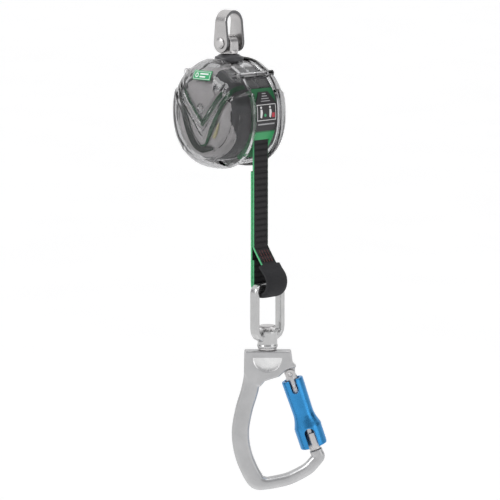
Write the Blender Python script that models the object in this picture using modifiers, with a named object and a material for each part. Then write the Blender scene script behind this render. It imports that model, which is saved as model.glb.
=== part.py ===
"""Self retracting lifeline: a personal fall limiter with a clear case, a web line and a swivel karabiner.

Frame: +Z up. The origin is the inner top of the anchor bail, where the anchor connector bears, so the
whole device hangs below it. The drum turns about Y. The front of the case, where the line leaves it, faces +X.
"""

import math

import bmesh
import bpy
from mathutils import Vector

MM = 0.001  # every size below is in millimetres and becomes metres through this factor
GAP = 0.3  # what neighbouring pieces keep between them

# Heights are counted from the drum's axis, which lies this far below the origin.
DRUM_DROP = 98.4

# Case
CASE_RADIUS = 56.0
CASE_TOP_SHARE = 0.96  # the upper half is this much flatter than the lower one
CASE_WALL = 2.2
CASE_HALF_WIDTH = 40.0
BAND_RADIUS = 52.5
BAND_HALF_WIDTH = 15.0
SQUARENESS = 2.3  # exponent of the outline: 2 is round, more is squarer
CASE_SEGMENTS = 32
SEAM = GAP / 2
INNER_RADIUS = 47.0
INNER_HALF_WIDTH = 36.0
INNER_WALL = 2.0
NOSE_HALF_WIDTH = 16.0
NOSE_TOP_DEG = 31.0
NOSE_BOTTOM_DEG = -58.0
POST_RADIUS = 3.2
POST_PLACES = [(48, 52.7), (132, 52.7), (228, 52.7), (292, 51.7)]  # angle in degrees, distance from the axis
SCREW_RADIUS = 1.6
SCREW_HEAD_RADIUS = 2.5

# Load frame and drum
FRAME_INNER = 14.5
FRAME_PLATE = 2.5
FRAME_HALF_DEPTH = 11.0
BRIDGE_TOP = 42.0
BRIDGE_THICKNESS = 3.0
FRAME_BOTTOM = -42.5
SPACER_DROP = -38.8
SPACER_RADIUS = 2.5
SHAFT_RADIUS = 4.0
SHAFT_HALF_LENGTH = 31.4
BUSH_RADIUS = 6.5
HUB_RADIUS = 9.0
FLANGE_RADIUS = 34.5
FLANGE_INNER = 11.0
FLANGE_OUTER = 13.0
PACK_RADIUS = 33.0

# Lock and absorber, on the -Y side
TEETH = 20
TOOTH_FACE_DEG = -58.7  # where a tooth's steep face lies, so that the pawls at full swing stand in gaps
TOOTH_TIP = 29.5
TOOTH_ROOT = 32.6
RING_RADIUS = 35.0
RING_NEAR = -20.0
RING_FAR = -25.5
PAWL_PIN_PLACE = 18.0
PAWL_PIN_RADIUS = 2.0
STRIP_TURNS = 2
STRIP_PITCH = 1.5
STRIP_THICKNESS = 1.0
ABSORBER_COVER_RADIUS = 38.0

# Retraction spring, on the +Y side
SPRING_CASE_RADIUS = 36.0
SPRING_TURNS = 6
SPRING_INNER = 10.0
SPRING_OUTER = 33.6
SPRING_THICKNESS = 0.8

# Swivel and bail
PIN_HEIGHT = 68.8
PIN_RADIUS = 4.0
STUD_RADIUS = 5.0
LUG_HALF_WIDTH = 6.0
LUG_RADIUS = 8.0
BAIL_INNER = 9.45
BAIL_PLATE = 3.0
BAIL_TOP_HALF = 7.0
BAIL_EYE_RADIUS = 9.5

# Line
WEB_HALF_WIDTH = 10.3
WEB_THICKNESS = 2.2
WEB_FRONT = 45.1
WEB_EXIT = -26.0
TAIL_TOP = -56.0
PARTING = -132.0  # below this the two layers part round the eye's bar
SLEEVE_HALF_WIDTH = 14.0
SLEEVE_THICKNESS = 1.5
SLEEVE_BACK = 45.0  # the sleeve ends here, under the bar, before the web's tail rises
LINER_THICKNESS = 1.2

# Swivel eye
EYE_X = 54.1
EYE_TOP = -166.6
EYE_HALF_WIDTH = 20.8
EYE_LEG = 6.0
EYE_DEPTH = 9.8
EYE_FLOOR = -213.0
HUB_BOTTOM = -232.6
EYE_HUB_RADIUS = 10.0
RIVET_RADIUS = 4.5

# Karabiner
HOOK_TURN_DEG = 45.0
HOOK_TOP = -235.4
HOOK_THICKNESS = 13.0
HINGE = (22.8, -259.8)
GATE_LEAN_DEG = 18.4
SLEEVE_START = 5.5
SLEEVE_END = 77.0
SLEEVE_SLOT = 6.6
BARREL_RADIUS = 6.4
BARREL_END = 80.3
TONGUE_START = 60.0
NOSE_START = 81.3
TONGUE_THICKNESS = 5.0
PIVOT_RADIUS = 2.0
SPRING_WELL_END = 30.0
BASKET_HIGH = (20.5, -361.2)  # the ends of the basket's flat bearing face
BASKET_LOW = (6.0, -364.6)


# ---------------------------------------------------------------- small tools


def collection(name):
    made = bpy.data.collections.new(name)
    bpy.context.scene.collection.children.link(made)
    return made


def clear_scene():
    for obj in list(bpy.data.objects):
        bpy.data.objects.remove(obj, do_unlink=True)


clear_scene()
PARTS = collection("self_retracting_lifeline")
CUTTERS = collection("cutters")


def material(name, colour, roughness, metallic=0.0, alpha=1.0):
    made = bpy.data.materials.new(name)
    made.use_nodes = True
    shader = made.node_tree.nodes["Principled BSDF"]
    shader.inputs["Base Color"].default_value = (*colour, 1.0)
    shader.inputs["Roughness"].default_value = roughness
    shader.inputs["Metallic"].default_value = metallic
    shader.inputs["Alpha"].default_value = alpha
    return made


CLEAR = material("clear_polycarbonate", (0.80, 0.82, 0.82), 0.05, alpha=0.35)
DARK = material("dark_grey_plastic", (0.05, 0.05, 0.055), 0.4)
GREEN = material("green_plastic", (0.02, 0.28, 0.10), 0.4)
BADGE_GREY = material("grey_plate", (0.34, 0.33, 0.33), 0.5)
BLACK = material("black_label", (0.01, 0.01, 0.012), 0.5)
STEEL = material("stainless_steel", (0.60, 0.60, 0.60), 0.35, 1.0)
ZINC = material("yellow_zinc", (0.62, 0.52, 0.25), 0.4, 1.0)
SPRING_STEEL = material("spring_steel", (0.25, 0.27, 0.33), 0.35, 1.0)
BRONZE = material("bronze", (0.55, 0.38, 0.20), 0.4, 1.0)
ALUMINIUM = material("aluminium", (0.66, 0.67, 0.68), 0.35, 1.0)
BLUE = material("blue_anodised", (0.02, 0.25, 0.65), 0.3, 0.8)
WEB = material("black_web", (0.02, 0.02, 0.02), 0.9)
LINER = material("green_web", (0.05, 0.40, 0.16), 0.9)
SLEEVE = material("black_sleeve", (0.03, 0.03, 0.035), 0.8)


def empty(name, place, turn_deg=0.0):
    made = bpy.data.objects.new(name, None)
    made.location = Vector(place) * MM
    made.rotation_euler = (0.0, 0.0, math.radians(turn_deg))
    PARTS.objects.link(made)
    return made


CASE = empty("case_origin", (0, 0, -DRUM_DROP))
HOOK = empty("hook_origin", (EYE_X, 0, -DRUM_DROP), HOOK_TURN_DEG)

ALONG = {
    "X": (math.pi / 2, 0.0, math.pi / 2),  # a flat outline's x and y become Y and Z, its thickness lies along X
    "Y": (math.pi / 2, 0.0, 0.0),  # its x and y become X and Z, its thickness lies along Y
    "Z": (0.0, 0.0, 0.0),
}
TURN_ABOUT = {"Y": (-math.pi / 2, 0.0, 0.0), "Z": (0.0, 0.0, 0.0)}


def place(obj, finish, parent, where=PARTS):
    """Gives a new object its material and parent, and moves it into its collection."""
    for old in list(obj.users_collection):
        old.objects.unlink(obj)
    where.objects.link(obj)
    obj.data.materials.append(finish)
    obj.parent = parent
    return obj


def as_cutter(obj):
    obj.hide_render = True
    obj.display_type = "WIRE"
    PARTS.objects.unlink(obj)
    CUTTERS.objects.link(obj)
    return obj


def smooth(obj, angle_deg=35.0):
    obj.data.shade_smooth()
    obj.data.set_sharp_from_angle(angle=math.radians(angle_deg))
    return obj


def turned(name, profile, finish, parent, about="Y", steps=32, centre=(0, 0, 0), ring=True):
    """A profile of (radius, height) points, which run down the outer side, turned about an axis."""
    mesh = bpy.data.meshes.new(name)
    points = [(r * MM, 0.0, h * MM) for r, h in profile]
    edges = [(i, i + 1) for i in range(len(points) - 1)]
    if ring:
        edges.append((len(points) - 1, 0))
    mesh.from_pydata(points, edges, [])
    obj = bpy.data.objects.new(name, mesh)
    PARTS.objects.link(obj)
    place(obj, finish, parent)
    obj.location = Vector(centre) * MM
    obj.rotation_euler = TURN_ABOUT[about]
    screw = obj.modifiers.new("Turn", "SCREW")
    screw.steps = screw.render_steps = steps
    screw.use_merge_vertices = True
    screw.merge_threshold = 0.00001
    return obj


def plate(name, outlines, thickness, finish, parent, along="Y", centre=(0, 0, 0), edge=0.0):
    """A flat outline, and any holes in it, given thickness. edge is the size of its rounded rims."""
    curve = bpy.data.curves.new(name, "CURVE")
    curve.dimensions = "2D"
    curve.fill_mode = "BOTH"
    curve.extrude = (thickness / 2 - edge) * MM
    if edge:
        curve.bevel_depth = edge * MM
        curve.bevel_resolution = 1
        curve.offset = -edge * MM
    for outline in outlines:
        spline = curve.splines.new("POLY")
        spline.points.add(len(outline) - 1)
        for point, (x, y) in zip(spline.points, outline):
            point.co = (x * MM, y * MM, 0.0, 1.0)
        spline.use_cyclic_u = True
    obj = bpy.data.objects.new(name, curve)
    PARTS.objects.link(obj)
    place(obj, finish, parent)
    obj.location = Vector(centre) * MM
    obj.rotation_euler = ALONG[along]
    return obj


def as_mesh(obj):
    """A curve object made into a closed mesh object, so that it can be cut or joined."""
    bpy.context.view_layer.update()
    graph = bpy.context.evaluated_depsgraph_get()
    mesh = bpy.data.meshes.new_from_object(obj.evaluated_get(graph))
    work = bmesh.new()
    work.from_mesh(mesh)
    bmesh.ops.remove_doubles(work, verts=work.verts, dist=0.000002)
    bmesh.ops.recalc_face_normals(work, faces=work.faces)
    work.to_mesh(mesh)
    work.free()
    made = bpy.data.objects.new(obj.name + "_mesh", mesh)
    PARTS.objects.link(made)
    made.parent = obj.parent
    made.location = obj.location.copy()
    made.rotation_euler = obj.rotation_euler.copy()
    name = obj.name
    bpy.data.objects.remove(obj)
    made.name = name
    return made


def rod(name, radius, ends, finish, parent, sides=20):
    """A round bar between two points."""
    start, end = (Vector(p) * MM for p in ends)
    bpy.ops.mesh.primitive_cylinder_add(vertices=sides, radius=radius * MM, depth=(end - start).length)
    obj = bpy.context.object
    obj.name = name
    place(obj, finish, parent)
    obj.location = (start + end) / 2
    obj.rotation_euler = (end - start).to_track_quat("Z", "Y").to_euler()
    return smooth(obj)


def boolean(obj, other, operation):
    step = obj.modifiers.new(operation.title(), "BOOLEAN")
    step.operation = operation
    step.object = other
    step.solver = "EXACT"


def cut(obj, cutter):
    boolean(obj, as_cutter(cutter), "DIFFERENCE")


def join(obj, other):
    boolean(obj, as_cutter(other), "UNION")


def keep_common(obj, other):
    boolean(obj, as_cutter(other), "INTERSECT")


def arc(centre, radius, start_deg, end_deg, count):
    """Points along a circular arc, both ends included."""
    turn = [math.radians(start_deg + (end_deg - start_deg) * i / (count - 1)) for i in range(count)]
    return [(centre[0] + radius * math.cos(t), centre[1] + radius * math.sin(t)) for t in turn]


def circle(centre, radius, count):
    return arc(centre, radius, 0.0, 360.0 * (count - 1) / count, count)


def smooth_through(points, per_span, closed=False):
    """Points on a smooth curve through the given ones (Catmull-Rom)."""
    found = []
    n = len(points)
    spans = n if closed else n - 1
    for i in range(spans):
        if closed:
            p0, p1, p2, p3 = (Vector(points[(i + k) % n]) for k in (-1, 0, 1, 2))
        else:
            p0, p1, p2, p3 = (Vector(points[min(max(i + k, 0), n - 1)]) for k in (-1, 0, 1, 2))
        for step in range(per_span):
            t = step / per_span
            a = 2 * p1
            b = p2 - p0
            c = 2 * p0 - 5 * p1 + 4 * p2 - p3
            d = 3 * p1 - p0 - 3 * p2 + p3
            found.append(tuple((a + b * t + c * t * t + d * t * t * t) / 2))
    if not closed:
        found.append(tuple(points[-1]))
    return found


def shifted(path, distance):
    """The path moved sideways, to the left of its direction, by a distance."""
    moved = []
    for i, point in enumerate(path):
        before, after = Vector(path[max(i - 1, 0)]), Vector(path[min(i + 1, len(path) - 1)])
        along = (after - before).normalized()
        moved.append((point[0] - along.y * distance, point[1] + along.x * distance))
    return moved


def ribbon(path, thickness):
    """The closed outline of a strip of even thickness, whose right-hand face is the path."""
    return list(path) + shifted(path, thickness)[::-1]


# ---------------------------------------------------------------- case


def outline_radius(angle, radius):
    """Distance from the axis to the case's squarish outline in a direction in the X-Z plane."""
    c, s = math.cos(angle), math.sin(angle)
    reach = (abs(c) ** SQUARENESS + abs(s) ** SQUARENESS) ** (-1 / SQUARENESS)
    flat = CASE_TOP_SHARE if s > 0 else 1.0
    return radius * reach * math.hypot(c, s * flat)


CASE_PROFILE = [  # (radius, half width) from the middle of the face, over the crest, to the seam
    (27, CASE_HALF_WIDTH),
    (39, 37.4),
    (47.5, 32.4),
    (53.4, 25.8),
    (CASE_RADIUS, 19.0),
    (55.2, 16.4),
    (BAND_RADIUS, BAND_HALF_WIDTH),
    (BAND_RADIUS, SEAM),
]
INNER_PROFILE = [
    (28, INNER_HALF_WIDTH),
    (39.5, 32.0),
    (45.4, 26.0),
    (INNER_RADIUS, 18.0),
    (INNER_RADIUS, SEAM),
]


def dome(name, profile, side, wall, finish, grow=0.0):
    """Half of a case: rings of the squarish outline from the middle of the face to the seam, made a shell.

    side is -1 for the left half and 1 for the right one. grow moves the whole surface outwards.
    """
    work = bmesh.new()
    top = profile[0][1] + grow
    middle = work.verts.new((0.0, side * top * MM, 0.0))
    rings = []
    for radius, width in profile:
        ring = []
        for i in range(CASE_SEGMENTS):
            angle = 2 * math.pi * i / CASE_SEGMENTS
            r = outline_radius(angle, radius + grow)
            y = width + grow if width > SEAM else width
            ring.append(work.verts.new((r * math.cos(angle) * MM, side * y * MM, r * math.sin(angle) * MM)))
        rings.append(ring)
    for i in range(CASE_SEGMENTS):
        j = (i + 1) % CASE_SEGMENTS
        work.faces.new((middle, rings[0][i], rings[0][j]))
        for upper, lower in zip(rings, rings[1:]):
            work.faces.new((upper[i], lower[i], lower[j], upper[j]))
    bmesh.ops.recalc_face_normals(work, faces=work.faces)
    outwards = sum(f.normal.dot(f.calc_center_median()) for f in work.faces) > 0
    if not outwards:
        bmesh.ops.reverse_faces(work, faces=work.faces)
    mesh = bpy.data.meshes.new(name)
    work.to_mesh(mesh)
    work.free()
    obj = bpy.data.objects.new(name, mesh)
    PARTS.objects.link(obj)
    place(obj, finish, CASE)
    solidify = obj.modifiers.new("Wall", "SOLIDIFY")
    solidify.thickness = wall * MM
    solidify.offset = -1.0
    return smooth(obj, 30.0)


def nose_sector(name, half_width, widen_deg=0.0):
    """The wedge of the case's front that the web guide takes up."""
    far = 72.0
    wedge = [(0.0, 0.0)] + arc((0, 0), far, NOSE_TOP_DEG + widen_deg, NOSE_BOTTOM_DEG - widen_deg, 9)
    return as_mesh(plate(name, [wedge], 2 * half_width, DARK, CASE))


def post_place(angle_deg, distance):
    a = math.radians(angle_deg)
    return distance * math.cos(a), distance * math.sin(a)


def clear_shell(side, word):
    """A clear half of the case, with its four screw posts."""
    shell = dome(f"{word}_shell", CASE_PROFILE, side, CASE_WALL, CLEAR)
    for index, (angle, distance) in enumerate(POST_PLACES):
        x, z = post_place(angle, distance)
        ends = [(x, side * SEAM, z), (x, side * 26.0, z)]
        post = rod(f"{word}_post_{index}", POST_RADIUS, ends, CLEAR, CASE, 8)
        join(shell, post)
    for index, (angle, distance) in enumerate(POST_PLACES):
        x, z = post_place(angle, distance)
        reach = 45.0 if side < 0 else 16.0
        ends = [(x, -side * 1.0, z), (x, side * reach, z)]
        hole = rod(f"{word}_hole_{index}", SCREW_RADIUS + GAP, ends, CLEAR, CASE, 8)
        cut(shell, hole)
        if side < 0:
            ends = [(x, -21.1, z), (x, -45.0, z)]
            seat = rod(f"{word}_seat_{index}", SCREW_HEAD_RADIUS + GAP, ends, CLEAR, CASE, 8)
            cut(shell, seat)
    cut(shell, nose_sector(f"{word}_nose", NOSE_HALF_WIDTH))
    neck = rod(f"{word}_neck", 10.5, [(0, 0, 40), (0, 0, 70)], CLEAR, CASE, 24)
    cut(shell, neck)
    return shell


def inner_casing(side, word):
    """A dark half of the inner casing, which keeps dust off the drum."""
    casing = dome(f"{word}_inner_casing", INNER_PROFILE, side, INNER_WALL, DARK)
    cut(casing, nose_sector(f"{word}_inner_nose", NOSE_HALF_WIDTH + 0.4, 2.0))
    neck = rod(f"{word}_inner_neck", 10.4, [(0, 0, 36), (0, 0, 60)], DARK, CASE, 24)
    cut(casing, neck)
    return casing


def chevron(side, word, which, vertex_drop, reach, rise, width, over=None):
    """A V-shaped band on the inner casing's domed face. over is where its front arm ends past the rim."""
    band = dome(f"{word}_{which}_chevron", INNER_PROFILE, side, 0.8, GREEN, grow=1.1)
    slope = math.hypot(reach, rise)
    down = width * slope / reach
    vee = [(0, vertex_drop), (reach, vertex_drop + rise)]
    if over:
        vee += [(over[0], over[1]), (over[0], over[1] - 0.8 * down)]
    vee += [
        (reach, vertex_drop + rise - down),
        (0, vertex_drop - down),
        (-reach, vertex_drop + rise - down),
        (-reach, vertex_drop + rise),
    ]
    depth = 30.0
    middle = side * (NOSE_HALF_WIDTH + 1.0 + depth / 2)
    keep_common(band, as_mesh(plate(f"{word}_{which}_vee", [vee], depth, GREEN, CASE, centre=(0, middle, 0))))
    return band


def shield_plate(side, word):
    """The flat grey plate between the arms of the inner chevron."""
    face = side * (INNER_HALF_WIDTH + GAP + 0.5)
    shield = [(-15.5, 24.5), (15.5, 24.5), (17.5, 20.5), (1.0, 0.8), (-1.0, 0.8), (-17.5, 20.5)]
    plate(f"{word}_shield_plate", [shield], 1.0, BADGE_GREY, CASE, centre=(0, face, 0))


def badge():
    """The badge that follows the outside of the left shell, high on its face."""
    skin = dome("badge", CASE_PROFILE, -1, 0.8, GREEN, grow=GAP + 0.8)
    outline = [(-12.5, 34.0), (12.5, 34.0), (12.5, 43.5), (-12.5, 43.5)]
    keep_common(skin, as_mesh(plate("badge_outline", [outline], 24.0, GREEN, CASE, centre=(0, -34.0, 0))))


def case_screws():
    """Four long screws that clamp the two clear shells together."""
    for index, (angle, distance) in enumerate(POST_PLACES):
        x, z = post_place(angle, distance)
        profile = [
            (0.0, 14.5),
            (SCREW_RADIUS, 13.5),
            (SCREW_RADIUS, -21.4),
            (SCREW_HEAD_RADIUS, -21.4),
            (SCREW_HEAD_RADIUS, -23.2),
            (1.7, -24.0),
            (0.0, -24.0),
        ]
        turned(f"case_screw_{index + 1}", profile, STEEL, CASE, steps=8, centre=(x, 0, z), ring=False)


def web_guide():
    """The green moulding of the nose: it closes the case's front and leads the web out under its lip."""
    outer, inner = 51.9, 39.5
    top, bottom = NOSE_TOP_DEG - 0.6, NOSE_BOTTOM_DEG + 0.6
    outline = arc((0, 0), outer, top, bottom, 17) + arc((0, 0), inner, bottom, top, 13)
    guide = as_mesh(plate("web_guide", [outline], 2 * (NOSE_HALF_WIDTH - GAP), GREEN, CASE))
    slot = WEB_HALF_WIDTH + 0.9
    lip = WEB_FRONT + 0.5
    way = [(lip, WEB_EXIT + 1.0), (lip, -60), (28, -60), (28, 8), (37.5, 8), (39.0, -2)]
    cut(guide, as_mesh(plate("guide_slot", [way], 2 * slot, GREEN, CASE)))
    mouth = [(lip - 0.1, WEB_EXIT - 1.0), (54, WEB_EXIT - 4.5), (54, -60), (lip - 0.1, -60)]
    cut(guide, as_mesh(plate("guide_mouth", [mouth], 2 * (slot + 0.4), GREEN, CASE)))
    return guide


def front_label():
    """The black label plate on the nose, curved like it."""
    near, far = 52.3, 53.0
    strip = arc((0, 0), far, 26.0, -17.0, 11) + arc((0, 0), near, -17.0, 26.0, 11)
    label = as_mesh(plate("front_label", [strip], 2 * 14.5, BLACK, CASE))
    tapered = [(-15, -20), (15, -20), (15, 11), (6, 24), (-6, 24), (-15, 11)]
    outline = plate("label_outline", [tapered], 20.0, BLACK, CASE, along="X", centre=(50, 0, 0))
    keep_common(label, as_mesh(outline))


# ---------------------------------------------------------------- frame, drum, lock and spring


def load_frame():
    """A steel strap bent into a U over the drum. It carries the load from the shaft to the swivel."""
    inner, outer = FRAME_INNER, FRAME_INNER + FRAME_PLATE
    bend = 5.0
    under = BRIDGE_TOP - BRIDGE_THICKNESS
    outline = [(outer, FRAME_BOTTOM)]
    outline += arc((outer - bend, BRIDGE_TOP - bend), bend, 0, 90, 5)
    outline += arc((-outer + bend, BRIDGE_TOP - bend), bend, 90, 180, 5)
    outline += [(-outer, FRAME_BOTTOM), (-inner, FRAME_BOTTOM)]
    outline += arc((-inner + 2.5, under - 2.5), 2.5, 180, 90, 4)
    outline += arc((inner - 2.5, under - 2.5), 2.5, 90, 0, 4)
    outline += [(inner, FRAME_BOTTOM)]
    frame = as_mesh(plate("load_frame", [outline], 2 * FRAME_HALF_DEPTH, STEEL, CASE, along="X"))
    cut(frame, rod("shaft_hole", BUSH_RADIUS + GAP, [(0, -30, 0), (0, 30, 0)], STEEL, CASE, 16))
    cut(frame, rod("stud_hole", 7.5 + GAP, [(0, 0, 30), (0, 0, 50)], STEEL, CASE, 16))
    across = [(0, -30, SPACER_DROP), (0, 30, SPACER_DROP)]
    cut(frame, rod("spacer_hole", SPACER_RADIUS + GAP - 0.5, across, STEEL, CASE, 10))
    profile = [
        (0.0, outer + 0.9),
        (SPACER_RADIUS + 1.0, outer + 0.9),
        (SPACER_RADIUS + 1.0, outer + GAP),
        (SPACER_RADIUS - 0.5, outer + GAP),
        (SPACER_RADIUS - 0.5, inner - GAP),
        (SPACER_RADIUS, inner - GAP),
        (SPACER_RADIUS, -inner + GAP),
        (SPACER_RADIUS - 0.5, -inner + GAP),
        (SPACER_RADIUS - 0.5, -outer - GAP),
        (SPACER_RADIUS + 1.0, -outer - GAP),
        (SPACER_RADIUS + 1.0, -outer - 0.9),
        (0.0, -outer - 0.9),
    ]
    turned("frame_spacer", profile, STEEL, CASE, steps=10, centre=(0, 0, SPACER_DROP), ring=False)


def drum():
    """The spool, the web wound on it, the shaft it is keyed to and the clips and bushes of that shaft."""
    bore = SHAFT_RADIUS + GAP
    spool = [
        (bore, FLANGE_OUTER),
        (FLANGE_RADIUS, FLANGE_OUTER),
        (FLANGE_RADIUS, FLANGE_INNER),
        (HUB_RADIUS, FLANGE_INNER),
        (HUB_RADIUS, -FLANGE_INNER),
        (FLANGE_RADIUS, -FLANGE_INNER),
        (FLANGE_RADIUS, -FLANGE_OUTER),
        (bore, -FLANGE_OUTER),
    ]
    turned("drum", spool, ALUMINIUM, CASE, steps=32)
    half = WEB_HALF_WIDTH + 0.2
    pack = [(PACK_RADIUS, half), (PACK_RADIUS, -half), (HUB_RADIUS + GAP, -half), (HUB_RADIUS + GAP, half)]
    turned("wound_web", pack, WEB, CASE, steps=32)
    shaft = [
        (0.0, SHAFT_HALF_LENGTH),
        (SHAFT_RADIUS - 0.6, SHAFT_HALF_LENGTH),
        (SHAFT_RADIUS, SHAFT_HALF_LENGTH - 0.6),
        (SHAFT_RADIUS, -SHAFT_HALF_LENGTH + 0.6),
        (SHAFT_RADIUS - 0.6, -SHAFT_HALF_LENGTH),
        (0.0, -SHAFT_HALF_LENGTH),
    ]
    turned("main_shaft", shaft, STEEL, CASE, steps=16, ring=False)
    for side, word in ((-1, "left"), (1, "right")):
        profile = [
            (bore, FRAME_INNER + FRAME_PLATE),
            (BUSH_RADIUS, FRAME_INNER + FRAME_PLATE),
            (BUSH_RADIUS, FRAME_INNER - GAP),
            (8.5, FRAME_INNER - GAP),
            (8.5, FLANGE_OUTER + GAP),
            (bore, FLANGE_OUTER + GAP),
        ]
        bush = turned(f"{word}_shaft_bush", profile, BRONZE, CASE, steps=16)
        if side < 0:
            bush.rotation_euler = (math.pi / 2, 0.0, 0.0)
    for word, near, far in (("left", -28.2, -29.2), ("right", 31.0, 30.0)):
        clip = [(6.4, max(near, far)), (6.4, min(near, far)), (bore, min(near, far)), (bore, max(near, far))]
        turned(f"{word}_shaft_clip", clip, SPRING_STEEL, CASE, steps=16)


def pawl_outline():
    """One pawl: a round eye on its pin, an arm and a wedge tip that catches the ratchet ring."""
    eye = arc((PAWL_PIN_PLACE, 0), 4.0, -150, -350, 9)
    back = [(22.4, -4.5), (22.2, -10.5), (19.6, -17.4), (14.9, -24.2)]
    tip = [(12.2, -24.6), (11.4, -21.8)]
    belly = [(14.4, -17.0), (16.0, -11.0), (15.6, -6.0)]
    return eye + back + tip + belly


def lock():
    """Centrifugal lock: a carrier with two pawls on the shaft, and the ratchet ring that they catch."""
    bore = SHAFT_RADIUS + GAP
    carrier = turned(
        "pawl_carrier", [(23.0, -18.4), (23.0, -20.7), (bore, -20.7), (bore, -18.4)], STEEL, CASE, steps=24
    )
    for index, turn in enumerate((0.0, math.pi)):
        x = PAWL_PIN_PLACE * math.cos(turn)
        ends = [(x, -15, 0), (x, -25, 0)]
        cut(carrier, rod(f"pin_hole_{index}", PAWL_PIN_RADIUS + GAP, ends, STEEL, CASE, 16))
        rod(f"pawl_pin_{index + 1}", PAWL_PIN_RADIUS, [(x, -18.5, 0), (x, -25.6, 0)], STEEL, CASE, 16)
        hole = circle((PAWL_PIN_PLACE, 0), PAWL_PIN_RADIUS + GAP, 16)
        pawl = plate(f"pawl_{index + 1}", [pawl_outline(), hole], 3.4, STEEL, CASE, centre=(0, -22.8, 0))
        pawl.rotation_euler = (math.pi / 2, turn, 0.0)
    profile = []
    pitch = 2 * math.pi / TEETH
    phase = math.radians(TOOTH_FACE_DEG)
    for tooth in range(TEETH):
        face = phase - tooth * pitch
        for share, radius in ((0.0, TOOTH_TIP), (0.02, TOOTH_ROOT), (0.50, TOOTH_ROOT), (0.90, TOOTH_TIP)):
            angle = face + share * pitch
            profile.append((radius * math.cos(angle), radius * math.sin(angle)))
    profile = order_round(profile)
    middle = (RING_NEAR + RING_FAR) / 2
    width = RING_NEAR - RING_FAR
    rim = circle((0, 0), RING_RADIUS, 32)
    plate("ratchet_ring", [rim, profile], width, STEEL, CASE, centre=(0, middle, 0))
    strip = spiral(RING_RADIUS + 0.5, STRIP_PITCH, STRIP_TURNS, 20, STRIP_THICKNESS)
    plate("absorber_strip", [strip], width, STEEL, CASE, centre=(0, middle, 0))
    cover = [
        (ABSORBER_COVER_RADIUS, -26.0),
        (ABSORBER_COVER_RADIUS, -27.2),
        (5.2, -27.2),
        (5.2, -26.0),
    ]
    turned("absorber_cover", cover, ZINC, CASE, steps=28)


def order_round(points):
    return sorted(points, key=lambda p: math.atan2(p[1], p[0]))


def spiral(start_radius, pitch, turns, per_turn, thickness):
    """The outline of a coiled strip, from its inner end to its outer one."""
    path = []
    for i in range(turns * per_turn + 1):
        t = i / per_turn
        radius = start_radius + pitch * t
        angle = 2 * math.pi * t
        path.append((radius * math.cos(angle), radius * math.sin(angle)))
    grown = [1 + thickness / math.hypot(x, y) for x, y in path]
    outer = [(x * share, y * share) for (x, y), share in zip(path, grown)]
    return path + outer[::-1]


def retraction_spring():
    """The coiled power spring that winds the line in, its cup, cover and arbor."""
    wall = 1.2
    cup = [
        (SPRING_CASE_RADIUS, 28.3),
        (SPRING_CASE_RADIUS, 18.3),
        (9.2, 18.3),
        (9.2, 18.3 + wall),
        (SPRING_CASE_RADIUS - wall, 18.3 + wall),
        (SPRING_CASE_RADIUS - wall, 28.3),
    ]
    turned("spring_case", cup, DARK, CASE, steps=28)
    lid = [(SPRING_CASE_RADIUS, 29.7), (SPRING_CASE_RADIUS, 28.6), (5.2, 28.6), (5.2, 29.7)]
    turned("spring_cover", lid, ZINC, CASE, steps=28)
    pitch = (SPRING_OUTER - SPRING_INNER) / SPRING_TURNS
    coil = spiral(SPRING_INNER, pitch, SPRING_TURNS, 14, SPRING_THICKNESS)
    plate("power_spring", [coil], 7.6, SPRING_STEEL, CASE, centre=(0, 24.0, 0))
    bore = SHAFT_RADIUS + GAP
    turned("spring_arbor", [(8.6, 28.2), (8.6, 19.9), (bore, 19.9), (bore, 28.2)], STEEL, CASE, steps=16)


# ---------------------------------------------------------------- swivel and bail


def swivel():
    """The swivel block, whose stud hangs the load frame, with its bush, washer, nut and collar."""
    head = [(-LUG_RADIUS, 60.0)] + arc((0, PIN_HEIGHT), LUG_RADIUS, 180, 0, 9) + [(LUG_RADIUS, 60.0)]
    lug = as_mesh(plate("swivel_block", [head], 2 * LUG_HALF_WIDTH, STEEL, CASE, edge=1.0))
    stud = [
        (0.0, 62.5),
        (6.6, 62.5),
        (8.8, 61.0),
        (8.8, 58.0),
        (STUD_RADIUS, 57.6),
        (STUD_RADIUS, 35.4),
        (STUD_RADIUS - 0.8, 34.7),
        (0.0, 34.7),
    ]
    join(lug, turned("swivel_stud", stud, STEEL, CASE, about="Z", steps=16, ring=False))
    cut(lug, rod("lug_hole", PIN_RADIUS + GAP, [(0, -20, PIN_HEIGHT), (0, 20, PIN_HEIGHT)], STEEL, CASE, 16))
    bore = STUD_RADIUS + GAP
    under = BRIDGE_TOP - BRIDGE_THICKNESS
    shoulder = BRIDGE_TOP + GAP
    bush = [(bore, 43.8), (9.4, 43.8), (9.4, shoulder), (7.5, shoulder), (7.5, under), (bore, under)]
    turned("swivel_bush", bush, BRONZE, CASE, about="Z", steps=16)
    washer = [(bore, 47.5), (9.4, 47.5), (9.4, 44.1), (bore, 44.1)]
    turned("thrust_washer", washer, STEEL, CASE, about="Z", steps=16)
    collar = [(6.0, 57.3), (10.8, 57.3), (14.4, 54.6), (14.4, 51.4), (9.8, 51.4), (9.8, 48.0), (6.0, 48.0)]
    turned("swivel_collar", collar, DARK, CASE, about="Z", steps=24)
    hexagon = circle((0, 0), 8.2, 6)
    nut = plate(
        "swivel_nut", [hexagon, circle((0, 0), bore, 14)], 3.6, STEEL, CASE, along="Z", centre=(0, 0, 36.9), edge=0.4
    )
    return nut


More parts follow.
